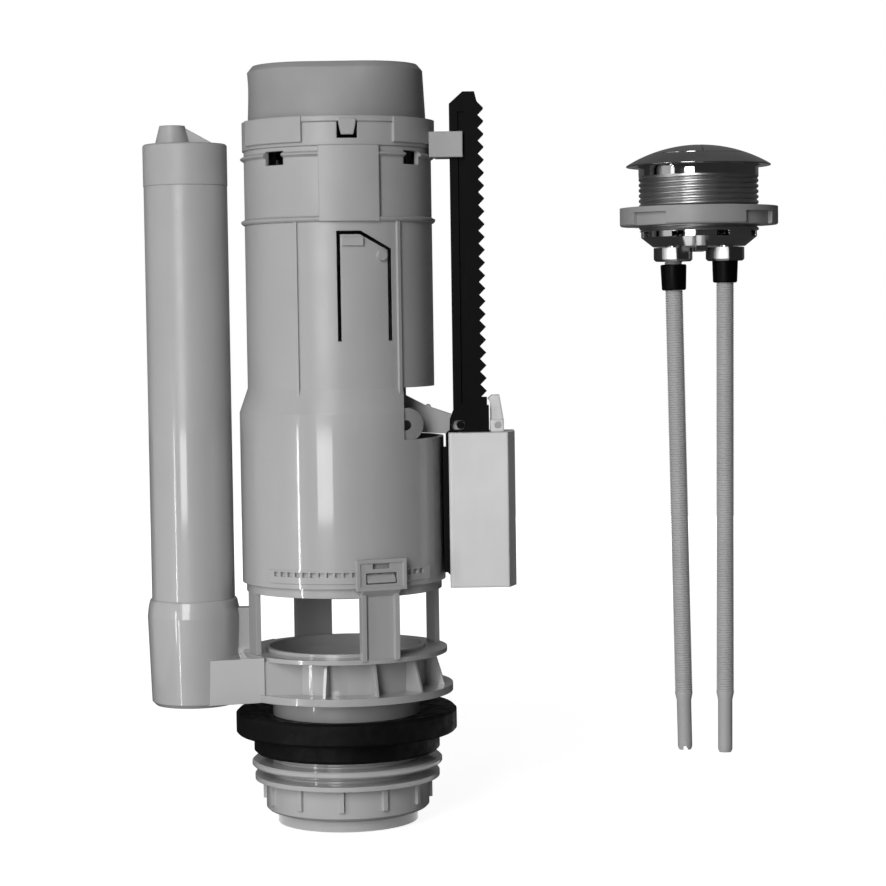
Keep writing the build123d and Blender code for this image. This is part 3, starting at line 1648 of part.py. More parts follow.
with BuildPart() as rack_pawl:
    pawl_left = channel_right + slip_gap
    pawl_low = float_top + slip_gap
    pawl_top = float_top + pawl_height
    with BuildSketch(Plane.XZ.offset(-float_y - pawl_width / 2)):
        with BuildLine():
            Polyline(
                (pawl_left, pawl_low),
                (pawl_left, pawl_top - 3.2),
                (rack_tip + slip_gap, pawl_top - 1.5),
                (pawl_left + 0.6, pawl_top),
                (pawl_right - 1.6, pawl_top),
                (pawl_right, pawl_low + 4.4),
                (pawl_right, pawl_low + 1.0),
                (pawl_right - 1.0, pawl_low),
                close=True,
            )
        make_face()
        with Locations((pawl_pin_x, pawl_pin_height)):
            Circle(pawl_pin_diameter / 2 + running_gap, mode=Mode.SUBTRACT)
    extrude(amount=pawl_width)
rack_pawl.part.label = "rack_pawl"
export_step(rack_pawl.part, "parts/rack_pawl.step")

with BuildPart() as pawl_pin:
    pawl_pin_length = pawl_width + 2 * slip_gap + 3.2
    with BuildSketch(Plane.XZ.offset(-float_y - pawl_pin_length / 2)):
        with Locations((pawl_pin_x, pawl_pin_height)):
            Circle(pawl_pin_diameter / 2)
    extrude(amount=pawl_pin_length)
pawl_pin.part.label = "pawl_pin"
export_step(pawl_pin.part, "parts/pawl_pin.step")


# Push-button unit: bezel with its neck
button_axis = Axis((button_x, 0, 0), (0, 0, 1))
button_plane = Plane(origin=(button_x, 0, 0), x_dir=(1, 0, 0), z_dir=(0, -1, 0))
bezel_radius = bezel_diameter / 2
dome_radius = (bezel_radius**2 + dome_rise**2) / (2 * dome_rise)
dome_top = rim_height + rim_thickness + dome_rise
opening_radius = button_diameter / 2 + button_gap
neck_radius = neck_diameter / 2


def dome_height(radius):
    """Height of the dome's surface at a distance from the button's axis."""
    return dome_top - dome_radius + sqrt(dome_radius**2 - radius**2)


with BuildPart() as button_bezel:
    with BuildSketch(button_plane):
        with BuildLine():
            middle = (opening_radius + bezel_radius) / 2
            dome = ThreePointArc(
                (bezel_radius, dome_height(bezel_radius)),
                (middle, dome_height(middle)),
                (opening_radius, dome_height(opening_radius)),
            )
            Polyline(
                dome @ 1,
                (opening_radius, button_skirt_bottom - 1.0),
                (neck_bore / 2, button_skirt_bottom - 3.0),
                (neck_bore / 2, neck_bottom),
                (neck_radius, neck_bottom),
                (neck_radius, rim_height + 0.4),
                (bezel_radius, rim_height),
                dome @ 0,
            )
        make_face()
    revolve(axis=button_axis)
button_bezel.part.label = "button_bezel"
export_step(button_bezel.part, "parts/button_bezel.step")


# Plastic nut with a thin flange above four shallow recesses
button_nut_top = button_nut_bottom + button_nut_height
nut_bore_radius = neck_radius + running_gap
with BuildPart() as button_nut:
    revolve(
        closed_face(
            [
                (nut_bore_radius, button_nut_bottom),
                (button_nut_diameter / 2 - 0.5, button_nut_bottom),
                (button_nut_diameter / 2, button_nut_bottom + 0.5),
                (button_nut_diameter / 2, button_nut_top),
                (nut_bore_radius + 2.4, button_nut_top),
                (nut_bore_radius + 0.8, button_nut_top + button_nut_cone_rise),
                (nut_bore_radius, button_nut_top + button_nut_cone_rise),
            ],
            button_plane,
        ),
        button_axis,
    )
    recess_inner = button_nut_diameter / 2 - lobe_depth
    for turn in range(4):
        recess_start = 45 + 90 * turn - lobe_recess_angle / 2
        direction = outward(recess_start)
        recess_plane = Plane(
            origin=(button_x, 0, 0), x_dir=direction, z_dir=direction.cross(Vector(0, 0, 1))
        )
        revolve(
            ring_face(
                recess_inner,
                button_nut_diameter,
                button_nut_bottom - 1.0,
                button_nut_top - button_nut_flange,
                recess_plane,
            ),
            button_axis,
            revolution_arc=lobe_recess_angle,
            mode=Mode.SUBTRACT,
        )
button_nut.part.label = "button_nut"
export_step(button_nut.part, "parts/button_nut.step")


# Guide insert under the neck, with windows round its foot
stem_hole = button_stem_diameter / 2 + slip_gap
cage_floor = cage_bottom + 3.0
with BuildPart() as button_cage:
    plug_radius = neck_bore / 2 - press_gap
    revolve(
        closed_face(
            [
                (0, cage_bottom),
                (cage_foot_diameter / 2, cage_bottom),
                (cage_top_diameter / 2, neck_bottom - 2.4),
                (cage_top_diameter / 2, neck_bottom),
                (plug_radius, neck_bottom),
                (plug_radius, neck_bottom + 6.0),
                (plug_radius - cage_wall, neck_bottom + 6.0),
                (plug_radius - cage_wall, cage_floor + 2.4),
                (cage_foot_diameter / 2 - cage_wall, cage_floor),
                (0, cage_floor),
            ],
            button_plane,
        ),
        button_axis,
    )
    with Locations((button_x, 0, cage_floor + 1.8)):
        with PolarLocations(cage_foot_diameter / 2 + 1.0, cage_slot_count, start_angle=18):
            Box(5 * cage_wall, cage_slot_width, cage_slot_height, mode=Mode.SUBTRACT)
    for side in (-1, 1):
        with Locations((button_x + side * stem_spacing / 2, 0, cage_bottom)):
            Cylinder(stem_hole, 4 * cage_wall, mode=Mode.SUBTRACT)
    with Locations((button_x, 0, cage_bottom)):
        Box(
            stem_spacing - socket_across - 1.0,
            cage_bar_length,
            cage_bar_drop,
            align=(Align.CENTER, Align.CENTER, Align.MAX),
        )
button_cage.part.label = "button_cage"
export_step(button_cage.part, "parts/button_cage.step")


def press_cap(side):
    """Half-round press cap under the dome, with its stem and spring flange."""
    radius = button_diameter / 2
    stem_x = button_x + side * stem_spacing / 2
    with BuildPart() as cap:
        with BuildSketch(button_plane):
            with BuildLine():
                dome = ThreePointArc(
                    (radius, dome_height(radius)),
                    (radius / 2, dome_height(radius / 2)),
                    (0, dome_height(0)),
                )
                shell_radius = radius - button_shell
                hollow_top = dome_height(shell_radius) - button_shell
                Polyline(
                    dome @ 1,
                    (0, hollow_top),
                    (shell_radius, hollow_top),
                    (shell_radius, button_skirt_bottom),
                    (radius, button_skirt_bottom),
                    dome @ 0,
                )
            make_face()
        revolve(axis=button_axis)
        with Locations((stem_x, 0, socket_bottom + socket_height)):
            Cylinder(
                button_stem_diameter / 2,
                dome_height(radius) - socket_bottom - socket_height,
                align=(Align.CENTER, Align.CENTER, Align.MIN),
            )
        with Locations((stem_x, 0, spring_flange_height)):
            Cylinder(
                spring_flange_diameter / 2,
                1.6,
                align=(Align.CENTER, Align.CENTER, Align.MIN),
            )
        with Locations((button_x + side * button_split / 2, 0, 0)):
            Box(
                2 * radius,
                3 * radius,
                3 * dome_top,
                align=(Align.MIN if side > 0 else Align.MAX, Align.CENTER, Align.CENTER),
                mode=Mode.INTERSECT,
            )
    return cap.part


button_sides = {"full": -1, "half": 1}
button_coil_radius = spring_flange_diameter / 2 - spring_wire / 2
for name, side in button_sides.items():
    stem_x = button_x + side * stem_spacing / 2

    with BuildPart() as button:
        add(press_cap(side))
    button.part.label = f"button_{name}"
    export_step(button.part, f"parts/button_{name}.step")

    with BuildPart() as button_spring:
        add(coil(cage_floor, spring_flange_height, button_coil_radius, (stem_x, 0)))
    button_spring.part.label = f"button_spring_{name}"
    export_step(button_spring.part, f"parts/button_spring_{name}.step")

    # Faceted socket that takes the rod
    with BuildPart() as rod_socket:
        with BuildSketch(Plane.XY.offset(socket_bottom)):
            with Locations((stem_x, 0)):
                RegularPolygon(socket_across / 2, 8, major_radius=False, rotation=22.5)
        extrude(amount=socket_height)
        chamfer(rod_socket.faces().sort_by(Axis.Z)[0].edges(), socket_chamfer)
        with Locations((stem_x, 0, socket_bottom)):
            Cylinder(
                rod_diameter / 2 + running_gap,
                socket_height - 1.2,
                align=(Align.CENTER, Align.CENTER, Align.MIN),
                mode=Mode.SUBTRACT,
            )
            Cylinder(
                sleeve_diameter / 2 + seat_gap,
                1.8,
                align=(Align.CENTER, Align.CENTER, Align.MIN),
                mode=Mode.SUBTRACT,
            )
    rod_socket.part.label = f"rod_socket_{name}"
    export_step(rod_socket.part, f"parts/rod_socket_{name}.step")

    # The rod leans a little in its socket, and its sleeve leans with it
    rod_top = socket_bottom + rod_top_rise
    lean_plane = Plane(origin=(stem_x, 0, rod_top)).rotated((0, rod_leans[name], 0))
    rod_axis = Axis(lean_plane.origin, lean_plane.z_dir)
    rod_section_plane = Plane(
        origin=lean_plane.origin, x_dir=lean_plane.x_dir, z_dir=lean_plane.x_dir.cross(lean_plane.z_dir)
    )
    thread_end = -rod_thread_length
    rod_end = -rod_lengths[name]
    tip_radius = rod_tip_diameter / 2
    with BuildPart() as push_rod:
        revolve(
            closed_face(
                [
                    (0, 0),
                    (rod_diameter / 2 - 0.5, 0),
                    (rod_diameter / 2, -0.5),
                    (rod_diameter / 2, thread_end),
                    (tip_radius, thread_end - rod_taper_length),
                    (tip_radius, rod_end + 1.2),
                    (tip_radius - 1.2, rod_end),
                    (0, rod_end),
                ],
                rod_section_plane,
            ),
            rod_axis,
        )
        if name == "full":
            with BuildSketch(rod_section_plane):
                with Locations((0, rod_end)):
                    Rectangle(tip_notch_width, 2 * tip_notch_depth)
            extrude(amount=rod_diameter, both=True, mode=Mode.SUBTRACT)
    push_rod.part.label = f"push_rod_{name}"
    export_step(push_rod.part, f"parts/push_rod_{name}.step")

    sleeve_top = socket_bottom + 1.6 - sleeve_drops[name] - rod_top
    with BuildPart() as rod_sleeve:
        revolve(
            closed_face(
                [
                    (rod_diameter / 2 + press_gap, sleeve_top),
                    (sleeve_diameter / 2 - 0.4, sleeve_top),
                    (sleeve_diameter / 2, sleeve_top - 0.4),
                    (sleeve_diameter / 2 - sleeve_taper, sleeve_top - sleeve_length + 0.5),
                    (sleeve_diameter / 2 - sleeve_taper - 0.5, sleeve_top - sleeve_length),
                    (rod_diameter / 2 + press_gap, sleeve_top - sleeve_length),
                ],
                rod_section_plane,
            ),
            rod_axis,
        )
    rod_sleeve.part.label = f"rod_sleeve_{name}"
    export_step(rod_sleeve.part, f"parts/rod_sleeve_{name}.step")
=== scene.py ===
"""Finishes, fine shapes, studio and camera for a toilet flush valve and its push-button unit.

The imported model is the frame: metres, +Z up, front facing -Y, origin on the valve's axis at the lower
end of its tail. Sizes in the classes below are in millimetres and become metres when a mesh is made.
"""

import json
import logging
import math
from dataclasses import dataclass
from enum import Enum

import bmesh
import bpy
import numpy as np
from mathutils import Matrix, Vector

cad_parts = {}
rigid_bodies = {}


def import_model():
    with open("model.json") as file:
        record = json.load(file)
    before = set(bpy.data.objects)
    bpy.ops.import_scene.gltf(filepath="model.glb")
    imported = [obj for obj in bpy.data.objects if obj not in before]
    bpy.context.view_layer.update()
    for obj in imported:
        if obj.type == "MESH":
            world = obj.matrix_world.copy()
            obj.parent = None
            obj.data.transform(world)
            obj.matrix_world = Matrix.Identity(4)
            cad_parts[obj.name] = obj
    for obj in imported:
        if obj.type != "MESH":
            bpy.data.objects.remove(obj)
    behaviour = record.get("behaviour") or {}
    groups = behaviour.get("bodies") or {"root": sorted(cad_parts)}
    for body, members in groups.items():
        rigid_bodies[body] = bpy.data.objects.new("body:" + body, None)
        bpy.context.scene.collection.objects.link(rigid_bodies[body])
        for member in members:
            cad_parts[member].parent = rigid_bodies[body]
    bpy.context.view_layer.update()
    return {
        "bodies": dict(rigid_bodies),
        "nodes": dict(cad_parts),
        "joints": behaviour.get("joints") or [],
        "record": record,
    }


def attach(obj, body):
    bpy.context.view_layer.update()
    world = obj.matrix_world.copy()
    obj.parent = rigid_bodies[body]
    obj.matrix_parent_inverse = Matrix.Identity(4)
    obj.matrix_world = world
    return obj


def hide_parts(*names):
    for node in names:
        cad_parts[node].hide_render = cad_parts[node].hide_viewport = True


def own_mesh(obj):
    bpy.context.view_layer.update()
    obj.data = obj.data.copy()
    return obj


MM = 0.001
SHARP_ANGLE = math.radians(38.0)
WELD_DISTANCE = 1e-7
MIX_COLOUR_FIRST = 6
MIX_COLOUR_LAST = 7
MIX_COLOUR_RESULT = 2

log = logging.getLogger("flush_valve")


class Side(Enum):
    """The two halves of the push-button unit and of the press pads."""

    FULL = "full"
    HALF = "half"


class Grain(Enum):
    """How a moulded surface's fine texture runs."""

    EVEN = (1.0, 1.0, 1.0)
    UPRIGHT = (1.0, 1.0, 0.08)


class Shader:
    """One material's nodes, with a Principled surface that reads Object coordinates."""

    def __init__(self, name: str) -> None:
        """Starts a material with an output, a Principled shader and its coordinates.

        Args:
            name: the material's name.
        """
        self.material = bpy.data.materials.new(name)
        self.material.use_nodes = True
        self.tree = self.material.node_tree
        self.tree.nodes.clear()
        self.surface = self.add("ShaderNodeBsdfPrincipled")
        output = self.add("ShaderNodeOutputMaterial")
        self.join(self.surface.outputs["BSDF"], output.inputs["Surface"])
        self.place = self.add("ShaderNodeTexCoord").outputs["Object"]

    def add(self, kind: str) -> bpy.types.Node:
        """Adds a node of a kind and returns it."""
        return self.tree.nodes.new(kind)

    def join(self, source: bpy.types.NodeSocket, target: bpy.types.NodeSocket) -> None:
        """Links an output socket to an input socket."""
        self.tree.links.new(source, target)

    def set(self, **values: float) -> None:
        """Sets constant values on the Principled shader's own sockets, named with underscores."""
        for name, value in values.items():
            self.surface.inputs[name.replace("_", " ").title().replace("Ior", "IOR")].default_value = value

    def stretched(self, grain: Grain) -> bpy.types.NodeSocket:
        """Returns the coordinates scaled by a grain's direction.

        Args:
            grain: the direction in which the texture runs.

        Returns:
            The scaled vector socket.
        """
        mapping = self.add("ShaderNodeMapping")
        mapping.inputs["Scale"].default_value = grain.value
        self.join(self.place, mapping.inputs["Vector"])
        return mapping.outputs["Vector"]

    def noise(self, size_mm: float, detail: float = 3.0, grain: Grain = Grain.EVEN) -> bpy.types.NodeSocket:
        """Adds noise whose features are about a size across.

        Args:
            size_mm: size of a feature in millimetres.
            detail: number of finer layers.
            grain: the direction in which the texture runs.

        Returns:
            The noise value's socket.
        """
        noise = self.add("ShaderNodeTexNoise")
        noise.inputs["Scale"].default_value = 1.0 / (size_mm * MM)
        noise.inputs["Detail"].default_value = detail
        self.join(self.stretched(grain), noise.inputs["Vector"])
        return noise.outputs["Fac"]

    def specks(self, size_mm: float, share: float) -> bpy.types.NodeSocket:
        """Adds sparse round specks, as dust leaves on a surface.

        Args:
            size_mm: distance between neighbouring specks in millimetres.
            share: radius of a speck as a share of that distance.

        Returns:
            A socket that is 1 in a speck and 0 elsewhere.
        """
        cells = self.add("ShaderNodeTexVoronoi")
        cells.inputs["Scale"].default_value = 1.0 / (size_mm * MM)
        self.join(self.place, cells.inputs["Vector"])
        return self.spread(cells.outputs["Distance"], share, share * 0.6, 0.0, 1.0)

    def spread(
        self, value: bpy.types.NodeSocket, low: float, high: float, first: float, last: float
    ) -> bpy.types.NodeSocket:
        """Maps a value's range smoothly to another range.

        Args:
            value: the socket to map.
            low: start of the incoming range.
            high: end of the incoming range.
            first: result at the start.
            last: result at the end.

        Returns:
            The mapped socket.
        """
        ramp = self.add("ShaderNodeMapRange")
        ramp.interpolation_type = "SMOOTHSTEP"
        for name, number in (("From Min", low), ("From Max", high), ("To Min", first), ("To Max", last)):
            ramp.inputs[name].default_value = number
        self.join(value, ramp.inputs["Value"])
        return ramp.outputs["Result"]

    def mixed(
        self, share: bpy.types.NodeSocket, first: "bpy.types.NodeSocket | float", last: float
    ) -> bpy.types.NodeSocket:
        """Blends a grey, or a colour socket, with another grey.

        Args:
            share: the socket that chooses between them.
            first: grey or colour where the share is 0.
            last: grey where the share is 1.

        Returns:
            The blended colour's socket.
        """
        mix = self.add("ShaderNodeMix")
        mix.data_type = "RGBA"
        self.join(share, mix.inputs["Factor"])
        if isinstance(first, bpy.types.NodeSocket):
            self.join(first, mix.inputs[MIX_COLOUR_FIRST])
        else:
            mix.inputs[MIX_COLOUR_FIRST].default_value = (first, first, first, 1.0)
        mix.inputs[MIX_COLOUR_LAST].default_value = (last, last, last, 1.0)
        return mix.outputs[MIX_COLOUR_RESULT]

    def relief(self, height: bpy.types.NodeSocket, depth_mm: float, strength: float, edge_mm: float) -> None:
        """Drives the surface's normal by a height, over softly rounded edges.

        Args:
            height: the socket with the height, from 0 to 1.
            depth_mm: depth of the relief in millimetres.
            strength: share of the relief that shows.
            edge_mm: radius that edges appear to have, in millimetres, or 0 for none.
        """
        bump = self.add("ShaderNodeBump")
        bump.inputs["Strength"].default_value = strength
        bump.inputs["Distance"].default_value = depth_mm * MM
        self.join(height, bump.inputs["Height"])
        self.join(bump.outputs["Normal"], self.surface.inputs["Normal"])
        if edge_mm > 0.0:
            edge = self.add("ShaderNodeBevel")
            edge.samples = 6
            edge.inputs["Radius"].default_value = edge_mm * MM
            self.join(edge.outputs["Normal"], bump.inputs["Normal"])

    def height(self) -> bpy.types.NodeSocket:
        """Splits off the height above the origin.

        Returns:
            The height's socket, in metres.
        """
        parts = self.add("ShaderNodeSeparateXYZ")
        self.join(self.place, parts.inputs["Vector"])
        return parts.outputs["Z"]


@dataclass(frozen=True)
class MouldedPlastic:
    """Satin moulded plastic: faint flow marks, cloudy gloss, fine grain and a little dust."""

    name: str
    grey: float
    clouding: float = 0.05
    gloss_low: float = 0.30
    gloss_high: float = 0.44
    grain_size: float = 0.5
    grain_depth: float = 0.012
    dust: float = 0.12
    edge: float = 0.35
    reflectance: float = 0.5
    coat: float = 0.0
    coat_below: float = 1000.0
    coat_fade: float = 12.0
    cloud_size: float = 34.0
    flow_size: float = 7.0
    flow_share: float = 0.10
    flow_gain: float = 1.25
    dust_spacing: float = 9.0
    dust_radius: float = 0.05
    dust_grey: float = 0.08
    gloss_size: float = 12.0

    def material(self) -> bpy.types.Material:
        """Builds the plastic's material.

        Returns:
            The new material.
        """
        shader = Shader(self.name)
        shader.set(specular_ior_level=self.reflectance, coat_roughness=0.05)
        top = self.coat_below * MM
        polish = shader.spread(shader.height(), top - self.coat_fade * MM, top, self.coat, 0.0)
        shader.join(polish, shader.surface.inputs["Coat Weight"])
        clouds = shader.noise(self.cloud_size, 4.0)
        flow = shader.noise(self.flow_size, 3.0, Grain.UPRIGHT)
        body = shader.mixed(
            shader.spread(clouds, 0.32, 0.68, 0.0, 1.0),
            self.grey * (1.0 - self.clouding),
            self.grey * (1.0 + self.clouding),
        )
        streaks = shader.spread(flow, 0.55, 0.75, 0.0, self.flow_share)
        streaked = shader.mixed(streaks, body, self.grey * self.flow_gain)
        specks = shader.specks(self.dust_spacing, self.dust_radius)
        specks = shader.spread(specks, 0.0, 1.0, 0.0, self.dust)
        dusty = shader.mixed(specks, streaked, self.dust_grey)
        shader.join(dusty, shader.surface.inputs["Base Color"])
        sheen = shader.noise(self.gloss_size, 5.0)
        gloss = shader.spread(sheen, 0.3, 0.7, self.gloss_low, self.gloss_high)
        shader.join(gloss, shader.surface.inputs["Roughness"])
        shader.relief(shader.noise(self.grain_size, 3.0), self.grain_depth, 0.6, self.edge)
        return shader.material


@dataclass(frozen=True)
class GasketRubber:
    """Black rubber: dull, with a fine skin, pale rubbed places and dust."""

    name: str
    grey: float = 0.003
    rubbed: float = 0.009
    reflectance: float = 0.14
    rub_size: float = 6.0
    dust: float = 0.3
    dust_spacing: float = 5.0
    dust_radius: float = 0.05
    dust_grey: float = 0.10
    gloss_size: float = 4.0
    gloss_low: float = 0.42
    gloss_high: float = 0.66
    skin_size: float = 0.7
    skin_depth: float = 0.05
    edge: float = 0.5

    def material(self) -> bpy.types.Material:
        """Builds the rubber's material.

        Returns:
            The new material.
        """
        shader = Shader(self.name)
        shader.set(specular_ior_level=self.reflectance)
        worn = shader.spread(shader.noise(self.rub_size, 6.0), 0.52, 0.78, 0.0, 0.7)
        body = shader.mixed(worn, self.grey, self.rubbed)
        specks = shader.specks(self.dust_spacing, self.dust_radius)
        specks = shader.spread(specks, 0.0, 1.0, 0.0, self.dust)
        dusty = shader.mixed(specks, body, self.dust_grey)
        shader.join(dusty, shader.surface.inputs["Base Color"])
        sheen = shader.noise(self.gloss_size, 5.0)
        gloss = shader.spread(sheen, 0.3, 0.7, self.gloss_low, self.gloss_high)
        shader.join(gloss, shader.surface.inputs["Roughness"])
        shader.relief(shader.noise(self.skin_size, 5.0), self.skin_depth, 0.5, self.edge)
        return shader.material


@dataclass(frozen=True)
class ChromePlate:
    """Bright plating on plastic: a mirror with faint clouding, hairlines and smudges."""

    name: str
    grey: float = 0.62
    edge: float = 0.12
    satin_below: float = 0.0
    satin_roughness: float = 0.28
    satin_fade: float = 0.5
    smudge_size: float = 9.0
    smudge_gain: float = 0.86
    gloss_size: float = 5.0
    gloss_low: float = 0.05
    gloss_high: float = 0.15
    ripple_size: float = 2.4
    ripple_depth: float = 0.008

    def material(self) -> bpy.types.Material:
        """Builds the plating's material.

        Returns:
            The new material.
        """
        shader = Shader(self.name)
        shader.set(metallic=1.0)
        smudge = shader.spread(shader.noise(self.smudge_size, 5.0), 0.45, 0.75, 0.0, 1.0)
        plate = shader.mixed(smudge, self.grey, self.grey * self.smudge_gain)
        shader.join(plate, shader.surface.inputs["Base Color"])
        sheen = shader.noise(self.gloss_size, 6.0)
        gloss = shader.spread(sheen, 0.35, 0.75, self.gloss_low, self.gloss_high)
        bright = self.satin_below * MM
        fade = self.satin_fade * MM
        satin = shader.spread(shader.height(), bright - fade, bright, self.satin_roughness, 0.0)
        larger = shader.add("ShaderNodeMath")
        larger.operation = "MAXIMUM"
        shader.join(gloss, larger.inputs[0])
        shader.join(satin, larger.inputs[1])
        shader.join(larger.outputs[0], shader.surface.inputs["Roughness"])
        shader.relief(shader.noise(self.ripple_size, 3.0), self.ripple_depth, 0.12, self.edge)
        return shader.material


@dataclass(frozen=True)
class SpringSteel:
    """Drawn spring wire: bright metal with fine marks from drawing."""

    name: str
    grey: float = 0.55
    mark_size: float = 0.6
    mark_gain: float = 0.75
    gloss_size: float = 1.5
    gloss_low: float = 0.22
    gloss_high: float = 0.38
    grain_size: float = 0.3
    grain_depth: float = 0.01
    edge: float = 0.1

    def material(self) -> bpy.types.Material:
        """Builds the wire's material.

        Returns:
            The new material.
        """
        shader = Shader(self.name)
        shader.set(metallic=1.0)
        marks = shader.spread(shader.noise(self.mark_size, 4.0), 0.3, 0.7, 0.0, 1.0)
        wire = shader.mixed(marks, self.grey, self.grey * self.mark_gain)
        shader.join(wire, shader.surface.inputs["Base Color"])
        sheen = shader.noise(self.gloss_size, 4.0)
        gloss = shader.spread(sheen, 0.3, 0.7, self.gloss_low, self.gloss_high)
        shader.join(gloss, shader.surface.inputs["Roughness"])
        shader.relief(shader.noise(self.grain_size, 3.0), self.grain_depth, 0.4, self.edge)
        return shader.material


Finish = MouldedPlastic | GasketRubber | ChromePlate | SpringSteel

SATIN = MouldedPlastic("satin_plastic", grey=0.40, clouding=0.03, gloss_low=0.40, gloss_high=0.50, edge=0.8)
PALE = MouldedPlastic("pale_plastic", grey=0.48, clouding=0.02, gloss_low=0.30, gloss_high=0.38, coat=0.75)
CUP = MouldedPlastic("cup_plastic", grey=0.31, gloss_low=0.46, gloss_high=0.58, edge=1.2)
SHELL = MouldedPlastic(
    "shell_plastic", grey=0.41, clouding=0.02, gloss_low=0.30, gloss_high=0.38, coat=0.75, coat_below=166.0
)
FLOAT = MouldedPlastic("float_plastic", grey=0.72, gloss_low=0.42, gloss_high=0.56, grain_size=0.8, edge=1.4)
RACK = MouldedPlastic(
    "rack_plastic", grey=0.002, gloss_low=0.38, gloss_high=0.52, dust=0.0, edge=0.25, reflectance=0.08
)
GASKET = GasketRubber("gasket_rubber")
CHROME = ChromePlate("chrome_plate")
BEZEL = ChromePlate("bezel_plate", grey=0.52, edge=0.0, satin_below=259.4, satin_roughness=0.34)
SOCKET = ChromePlate("socket_plate", grey=0.34, edge=0.0, satin_below=231.0, satin_roughness=0.3)
NUT = MouldedPlastic("nut_plastic", grey=0.31, gloss_low=0.40, gloss_high=0.55)
SLEEVE = MouldedPlastic(
    "sleeve_plastic", grey=0.002, gloss_low=0.35, gloss_high=0.5, dust=0.0, edge=0.2, reflectance=0.08
)
ROD = MouldedPlastic("rod_plastic", grey=0.44, gloss_low=0.40, gloss_high=0.55, edge=0.0)
STEEL = SpringSteel("spring_steel")


def thread_form(phase: np.ndarray, flat: float) -> np.ndarray:
    """Gives the height of a thread's form, from 0 at the root to 1 at the crest.

    The form is the smooth step 3 t^2 - 2 t^3 of a triangle wave, cut off so that the root and the
    crest are each flat for a share of the pitch.

    Args:
        phase: turns along the thread; each whole number is a root.
        flat: share of half a pitch that is flat at the root, and again at the crest.

    Returns:
        The heights, in the shape of the phase.
    """
    triangle = 1.0 - np.abs(2.0 * (phase - np.floor(phase)) - 1.0)
    ramp = np.clip((triangle - flat) / (1.0 - 2.0 * flat), 0.0, 1.0)
    return ramp * ramp * (3.0 - 2.0 * ramp)


def ridge_form(phase: np.ndarray) -> np.ndarray:
    """Gives the height of a ridge that is round at its crest and sharp at its root.

    The form is 2 t - t^2 of a triangle wave t, from 0 at the root to 1 at the crest.

    Args:
        phase: turns along the thread; each whole number is a root.

    Returns:
        The heights, in the shape of the phase.
    """
    triangle = 1.0 - np.abs(2.0 * (phase - np.floor(phase)) - 1.0)
    return triangle * (2.0 - triangle)


def stepped(corners: list[tuple[float, float]], step: float) -> np.ndarray:
    """Divides a run of straight lines so that no piece of it is longer than a step.

    Args:
        corners: radius and height of each corner.
        step: longest distance between neighbouring points.

    Returns:
        Points along the run, its corners among them.
    """
    ends = np.asarray(corners, dtype=float)
    lengths = np.hypot(*np.diff(ends, axis=0).T)
    counts = np.maximum(1, np.ceil(lengths / step)).astype(int)
    stations = np.concatenate([k + np.arange(n) / n for k, n in enumerate(counts)] + [[len(counts)]])
    marks = np.arange(len(ends))
    return np.stack([np.interp(stations, marks, ends[:, 0]), np.interp(stations, marks, ends[:, 1])], axis=1)


def arc(center: tuple[float, float], radius: float, start: float, stop: float, count: int) -> np.ndarray:
    """Gives points on a circular arc of a profile.

    Args:
        center: radius and height of the arc's centre.
        radius: the arc's own radius.
        start: first angle in degrees, from the outward direction towards up.
        stop: last angle in degrees.
        count: number of points.

    Returns:
        The points: the centre plus the radius times cosine and sine of each angle.
    """
    angles = np.radians(np.linspace(start, stop, count))
    return np.stack([center[0] + radius * np.cos(angles), center[1] + radius * np.sin(angles)], axis=1)


def turned(radius: np.ndarray, height: np.ndarray, angle: np.ndarray) -> np.ndarray:
    """Places a turned surface's points: radius times cosine and sine of the angle, and the height.

    Args:
        radius: distances from the axis, rows by columns or rows by one.
        height: heights, rows by columns or rows by one.
        angle: angles in radians, one by columns or rows by columns.

    Returns:
        Points, rows by columns by three.
    """
    x = radius * np.cos(angle)
    y = radius * np.sin(angle)
    return np.stack(np.broadcast_arrays(x, y, height), axis=-1)


def full_circle(columns: int) -> np.ndarray:
    """Gives one row of evenly spaced angles round a circle."""
    return np.linspace(0.0, 2.0 * math.pi, columns, endpoint=False)[None, :]


def surface(name: str, points: np.ndarray, closed_rows: bool = False) -> bpy.types.Object:
    """Makes an object from a grid of points whose columns close on themselves.

    Each square of four neighbours is one face. Points that coincide, as at a pole, are welded.

    Args:
        name: the piece's name.
        points: rows by columns by three, in millimetres in the frame's own place.
        closed_rows: whether the last row joins the first, as on a ring.

    Returns:
        The new object, linked to the scene.
    """
    rows, columns = points.shape[:2]
    index = np.arange(rows * columns).reshape(rows, columns)
    index = np.hstack([index, index[:, :1]])
    if closed_rows:
        index = np.vstack([index, index[:1]])
    corners = (index[:-1, :-1], index[:-1, 1:], index[1:, 1:], index[1:, :-1])
    faces = np.stack(corners, axis=-1).reshape(-1, 4)
    mesh = bpy.data.meshes.new(name)
    mesh.vertices.add(rows * columns)
    mesh.vertices.foreach_set("co", (points * MM).reshape(-1).astype(np.float32))
    mesh.loops.add(faces.size)
    mesh.loops.foreach_set("vertex_index", faces.reshape(-1).astype(np.int32))
    mesh.polygons.add(len(faces))
    mesh.polygons.foreach_set("loop_start", np.arange(0, faces.size, 4, dtype=np.int32))
    mesh.update(calc_edges=True)
    shape = bmesh.new()
    shape.from_mesh(mesh)
    bmesh.ops.remove_doubles(shape, verts=shape.verts, dist=WELD_DISTANCE)
    shape.to_mesh(mesh)
    shape.free()
    mesh.polygons.foreach_set("use_smooth", np.ones(len(mesh.polygons), dtype=bool))
    mesh.set_sharp_from_angle(angle=SHARP_ANGLE)
    mesh.update()
    piece = bpy.data.objects.new(name, mesh)
    bpy.context.scene.collection.objects.link(piece)
    return piece


